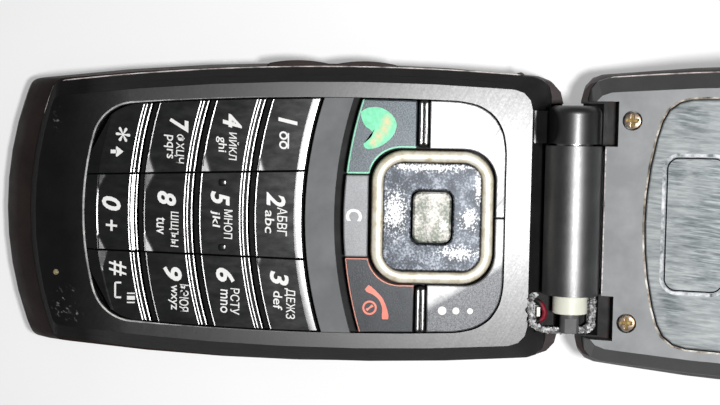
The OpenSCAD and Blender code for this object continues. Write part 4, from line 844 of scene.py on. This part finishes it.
# Hinge: the lid's barrel turns between two knuckles of the front cover, and the right-hand one has broken away.
# That lays bare the cream bush, pressed into the cover, the steel shaft that runs in it, and the red lead.
barrel_satin, tree, surface, paint = satin("barrel_satin", 0.16, 0.20, 0.44)
lay(surface, Metallic=1.0, Coat_Weight=0.0)
dress("hinge_barrel", barrel_satin, 0.2)
cream_plastic = moulding("cream_plastic", (0.66, 0.66, 0.55), (0.80, 0.80, 0.70), 0.4, 0.4, 0.01)
red_sheath, tree, surface = coating("red_sheath", Roughness=0.5, Specular_IOR_Level=0.2)
# The lead is near black up to 39.4 mm along the phone, towards the keys, and red beyond.
near_black = speckle(tree, 0.5, [(0.3, 0.006), (0.7, 0.02)])
red = speckle(tree, 0.5, [(0.3, (0.14, 0.006, 0.016)), (0.7, (0.26, 0.012, 0.03))])
lay(surface, Base_Color=blended(tree, ranged(tree, where(tree)["Y"], 0.0394, 0.0399), near_black, red),
    Normal=raised(tree, mottle(tree, 0.4), 0.01))
shaft_steel = moulding("shaft_steel", 0.05, 0.12, 0.5, 0.3, 0.01, 0.3)
dress("hinge_bush", cream_plastic, 0.15)
dress("hinge_shaft", shaft_steel, 0.12)
dress("hinge_lead", red_sheath, 0.0, 60.0)
torn_plastic = wear("torn_plastic", [(0.36, 0.05), (0.5, 0.28), (0.64, 0.72)], 0.6)
tear = flow([(11.7, 38.2), (13.0, 37.9), (14.6, 38.1), (16.2, 38.6), (16.8, 40.0), (16.95, 42.0), (16.9, 44.0),
             (16.7, 46.0), (15.8, 47.1), (14.0, 47.35), (11.9, 47.4)], 16)
step = np.arange(len(tear))
jolt = np.sin(step * 1.7) + np.sin(step * 2.9 + 1.0) + np.sin(step * 0.83 + 2.0)
tear = np.stack([tear[:, 0] + 0.05 * jolt, tear[:, 1] + 0.06 * np.roll(jolt, 5),
                 np.interp(tear[:, 1], [38.4, 40.0], [10.15, 10.75]) + 0.06 * np.roll(jolt, 9)], -1)
tear_size = 0.46 + 0.07 * np.roll(jolt, 3)
build("knuckle_tear", *cord(tear, tear_size), torn_plastic, "base", "front_plastic", 20.0)
chip = plug([(13.5, 39.0), (14.9, 39.0), (14.9, 39.5), (13.5, 39.5)], 8.95, 10.0)
build("knuckle_chip", *chip, cream_plastic, "base", "bush_plastic")

# Lid covers: a black inner cover, painted matt grey on its face, and a brown outer cover, snapped together.
# The lid stands open at 20 degrees, and its own measures run along it from the hinge.
hinge_z = 11.4
lid_tilt = np.radians(20.0)
lid_up = (0.0, -np.sin(lid_tilt), np.cos(lid_tilt))
lid_satin, tree, surface, paint = satin("lid_satin", 0.03, 0.045, 0.5)
level = add(tree, "VectorMath", {0: add(tree, "TexCoord").outputs["Normal"], 1: lid_up}, operation="DOT_PRODUCT")
matt = speckle(tree, 4.0, [(0.35, (0.20, 0.207, 0.213)), (0.7, (0.265, 0.272, 0.279))])
lay(surface, Base_Color=blended(tree, ranged(tree, level.outputs["Value"], 0.93, 0.985), paint, matt))
dress("lid_inner_cover", lid_satin, 0.15)
lid_shell, tree, surface = coating("lid_shell", Specular_IOR_Level=0.5)
brown = speckle(tree, 6.0, [(0.35, (0.016, 0.0085, 0.0075)), (0.7, (0.021, 0.0115, 0.010))])
black = speckle(tree, 1.0, [(0.3, 0.008), (0.7, 0.02)])
# Painted shade: in the notches beside the hinge ends the outer cover is painted near black, where shade falls.
notch_shade = patches(tree, [(-14.6, 46.6, 3.9, 3.6), (14.6, 46.6, 3.9, 3.6)], 0.05)
lay(surface, Base_Color=blended(tree, notch_shade, brown, black),
    Roughness=ranged(tree, mottle(tree, 2.5, (1, 3, 1)), 0.3, 0.75, 0.35, 0.5),
    Normal=raised(tree, mottle(tree, 0.25), 0.012))
dress("lid_outer_cover", lid_shell, 0.25)

# Lens: a clear acrylic plate glued into the lid, silvered from behind and rubbed dull by the keys.
# Its label field near the hinge is left bare, framed by a silver line; the display window lies beyond it.


def on_lid(points):
    """Points drawn on the lid as x, distance from the hinge and height over its face, turned to the open lid."""
    x, s, e = np.moveaxis(np.asarray(points, float), -1, 0)
    y = hinge_y + np.cos(lid_tilt) * s - np.sin(lid_tilt) * e
    return np.stack([x, y, hinge_z + np.sin(lid_tilt) * s + np.cos(lid_tilt) * e], -1)


lens_film, tree, surface = coating("lens_film", Metallic=0.2, Specular_IOR_Level=0.6)
streak = mottle(tree, 0.35, (1, 9, 9), 5.0, 0.06)
cloud = mottle(tree, 5.0, (1, 1.6, 1))
both = joined(tree, "ADD", streak, ranged(tree, cloud, 0.35, 0.65, -0.08, 0.08))
paint = tones(tree, both, [(0.3, (0.20, 0.222, 0.228)), (0.5, (0.28, 0.302, 0.307)), (0.72, (0.40, 0.42, 0.425))])
hatch = mottle(tree, 0.3, (1, 12, 12), 4.0, 0.1)
dull = tones(tree, hatch, [(0.40, (0.08, 0.10, 0.105)), (0.52, (0.18, 0.21, 0.215)), (0.64, (0.36, 0.39, 0.40))])
dull_spots = [(-15.3, 58.9, 2.2, 2.4), (0.0, 62.4, 9.0, 4.2), (11.8, 57.8, 2.6, 1.4), (-7.6, 57.6, 2.4, 1.8)]
field = patches(tree, dull_spots, 0.9)
rough_edge = ranged(tree, mottle(tree, 1.3, (1, 3, 3)), 0.3, 0.7, -0.4, 0.4)
field = ranged(tree, joined(tree, "ADD", field, rough_edge), 0.35, 0.8, 0.0, 0.9)
lay(surface, Base_Color=blended(tree, field, paint, dull), Roughness=ranged(tree, both, 0.3, 0.7, 0.35, 0.5),
    Normal=raised(tree, streak, 0.006))
dress("display_lens", lens_film, 0.25, segments=3)
print_level, print_thick = -0.28, 0.02


def lens_frame(name, width, near, far, corner, half, material):
    """Printed line round a rounded rectangle on the lens."""
    path = rounded_path(width, far - near, corner) + (0, (near + far) / 2)
    points, faces = stroke(np.concatenate([path, path[:2]]), half, print_level, print_thick)
    build(name, on_lid(points), faces, material, "lid", "lens_plastic")


line_tones = [(0.35, (0.16, 0.18, 0.19)), (0.5, (0.50, 0.51, 0.53)), (0.65, (0.75, 0.75, 0.78))]
silver_line = wear("silver_line", line_tones, 1.5)
lens_frame("label_frame", 20.4, 13.3, 22.6, 2.2, 0.22, silver_line)
lens_frame("label_border", 19.5, 13.8, 22.1, 1.7, 0.1, dark_glass)
lens_frame("window_border", 28.6, 24.4, 60.4, 1.6, 0.25, silver_line)

# Lid edges: the lens sits in a tan glued seam, and pale lines run beside the barrel and along the left edge.
# These lines are partly paint rubbed off and partly a painted highlight of the edges.
# The lens outline is taken from the lens itself, the other two lines from the cover's edge.
lens_middle, seam_off, seam_half = 38.0, 0.26, 0.13
barrel_side, lid_parting = 4.74, -2.4
tan_seam = wear("tan_seam", [(0.3, (0.03, 0.026, 0.022)), (0.48, (0.28, 0.235, 0.18)), (0.65, (0.76, 0.74, 0.70))], 2.0)
corners = points_of(frame["nodes"]["display_lens"].data) * 1000.0 - (0.0, hinge_y, hinge_z)
along = np.cos(lid_tilt) * corners[:, 1] + np.sin(lid_tilt) * corners[:, 2]
above = np.cos(lid_tilt) * corners[:, 2] - np.sin(lid_tilt) * corners[:, 1]
outline = np.unique(np.round(np.stack([corners[:, 0], along], -1)[above > above.max() - 0.01], 3), axis=0)
outline = outline[np.argsort(np.arctan2(outline[:, 1] - lens_middle, outline[:, 0]))]
outline = np.concatenate([outline[-1:], outline, outline[:2]])
run = heading(outline)
seam = outline + seam_off * np.stack([run[:, 1], -run[:, 0]], -1)
points, faces = stroke(seam[1:-1], seam_half, 0.004, print_thick)
build("lens_seam", on_lid(points), faces, tan_seam, "lid", "front_plastic")
# Pale line beside the barrel: rubbed paint and a painted highlight of the lid's edge.
edge_x = np.linspace(-11.0, 10.9, 120)
ragged = 0.08 + 0.05 * np.sin(edge_x * 9.0) * np.sin(edge_x * 3.7 + 1.0)
barrel_edge = on_lid(lifted(np.stack([edge_x, np.full(120, barrel_side)], -1), -0.04))
build("lid_edge_glint_wear", *cord(barrel_edge, ragged), pale_wear_glint, "lid", "front_plastic")
# Pale line along the lid's left edge: rubbed paint and a painted highlight of the parting line.
edge_s = np.linspace(5.2, 75.0, 90)
lid_corner = flow([(-18.6, 1.75), (-19.8, 2.1), (-20.7, 3.0), (-21.2, 4.2)], 6)
lid_edge = np.concatenate([lid_corner, np.stack([sag(wall_radius, edge_s - 32.0) - wall_side, edge_s], -1)])
build("lid_parting_glint_wear", *cord(on_lid(lifted(lid_edge, lid_parting)), wear_glint_width), pale_wear_glint, "lid", "front_plastic")

# Lid screws: brass-coloured heads with a worn cross recess, sunk in wells beside the hinge.
# The heads are rubbed bright in spots.
screw_tan, tree, surface = coating("screw_tan", Metallic=0.8)
spots = mottle(tree, 0.4)
copper = [(0.3, (0.16, 0.10, 0.07)), (0.5, (0.48, 0.36, 0.27)), (0.7, (0.85, 0.76, 0.66))]
lay(surface, Base_Color=tones(tree, spots, copper), Roughness=ranged(tree, spots, 0.3, 0.7, 0.5, 0.25))


def screw_head(x, s, level, radius=1.2, turns=96, rings=30):
    """Screw head: a flat dome over rings of points, sunk by a cross of two rounded slots."""
    turn, reach = np.meshgrid(around(turns), np.linspace(0, 1, rings))
    px, py = radius * reach * np.cos(turn), radius * reach * np.sin(turn)
    slot = np.minimum(np.abs(px), np.abs(py))
    depth = 0.35 * np.clip((0.26 - slot) / 0.08, 0, 1) * np.clip((0.95 - reach * radius) / 0.1, 0, 1)
    rise = level + 0.14 * (1 - reach ** 4) - depth
    rise[-1] = level - 0.25
    top = np.stack([x + px, s + py, rise], -1)
    base = np.stack([x + px[-1] * 0, s + py[-1] * 0, rise[-1]], -1)[None]
    return np.concatenate([top, base]), lattice(rings + 1, turns)


points, faces = gather(*(screw_head(side * 15.1, 8.5, -0.35) for side in (-1, 1)))
build("lid_screw_heads", on_lid(points), faces, screw_tan, "lid", "steel", 50.0)
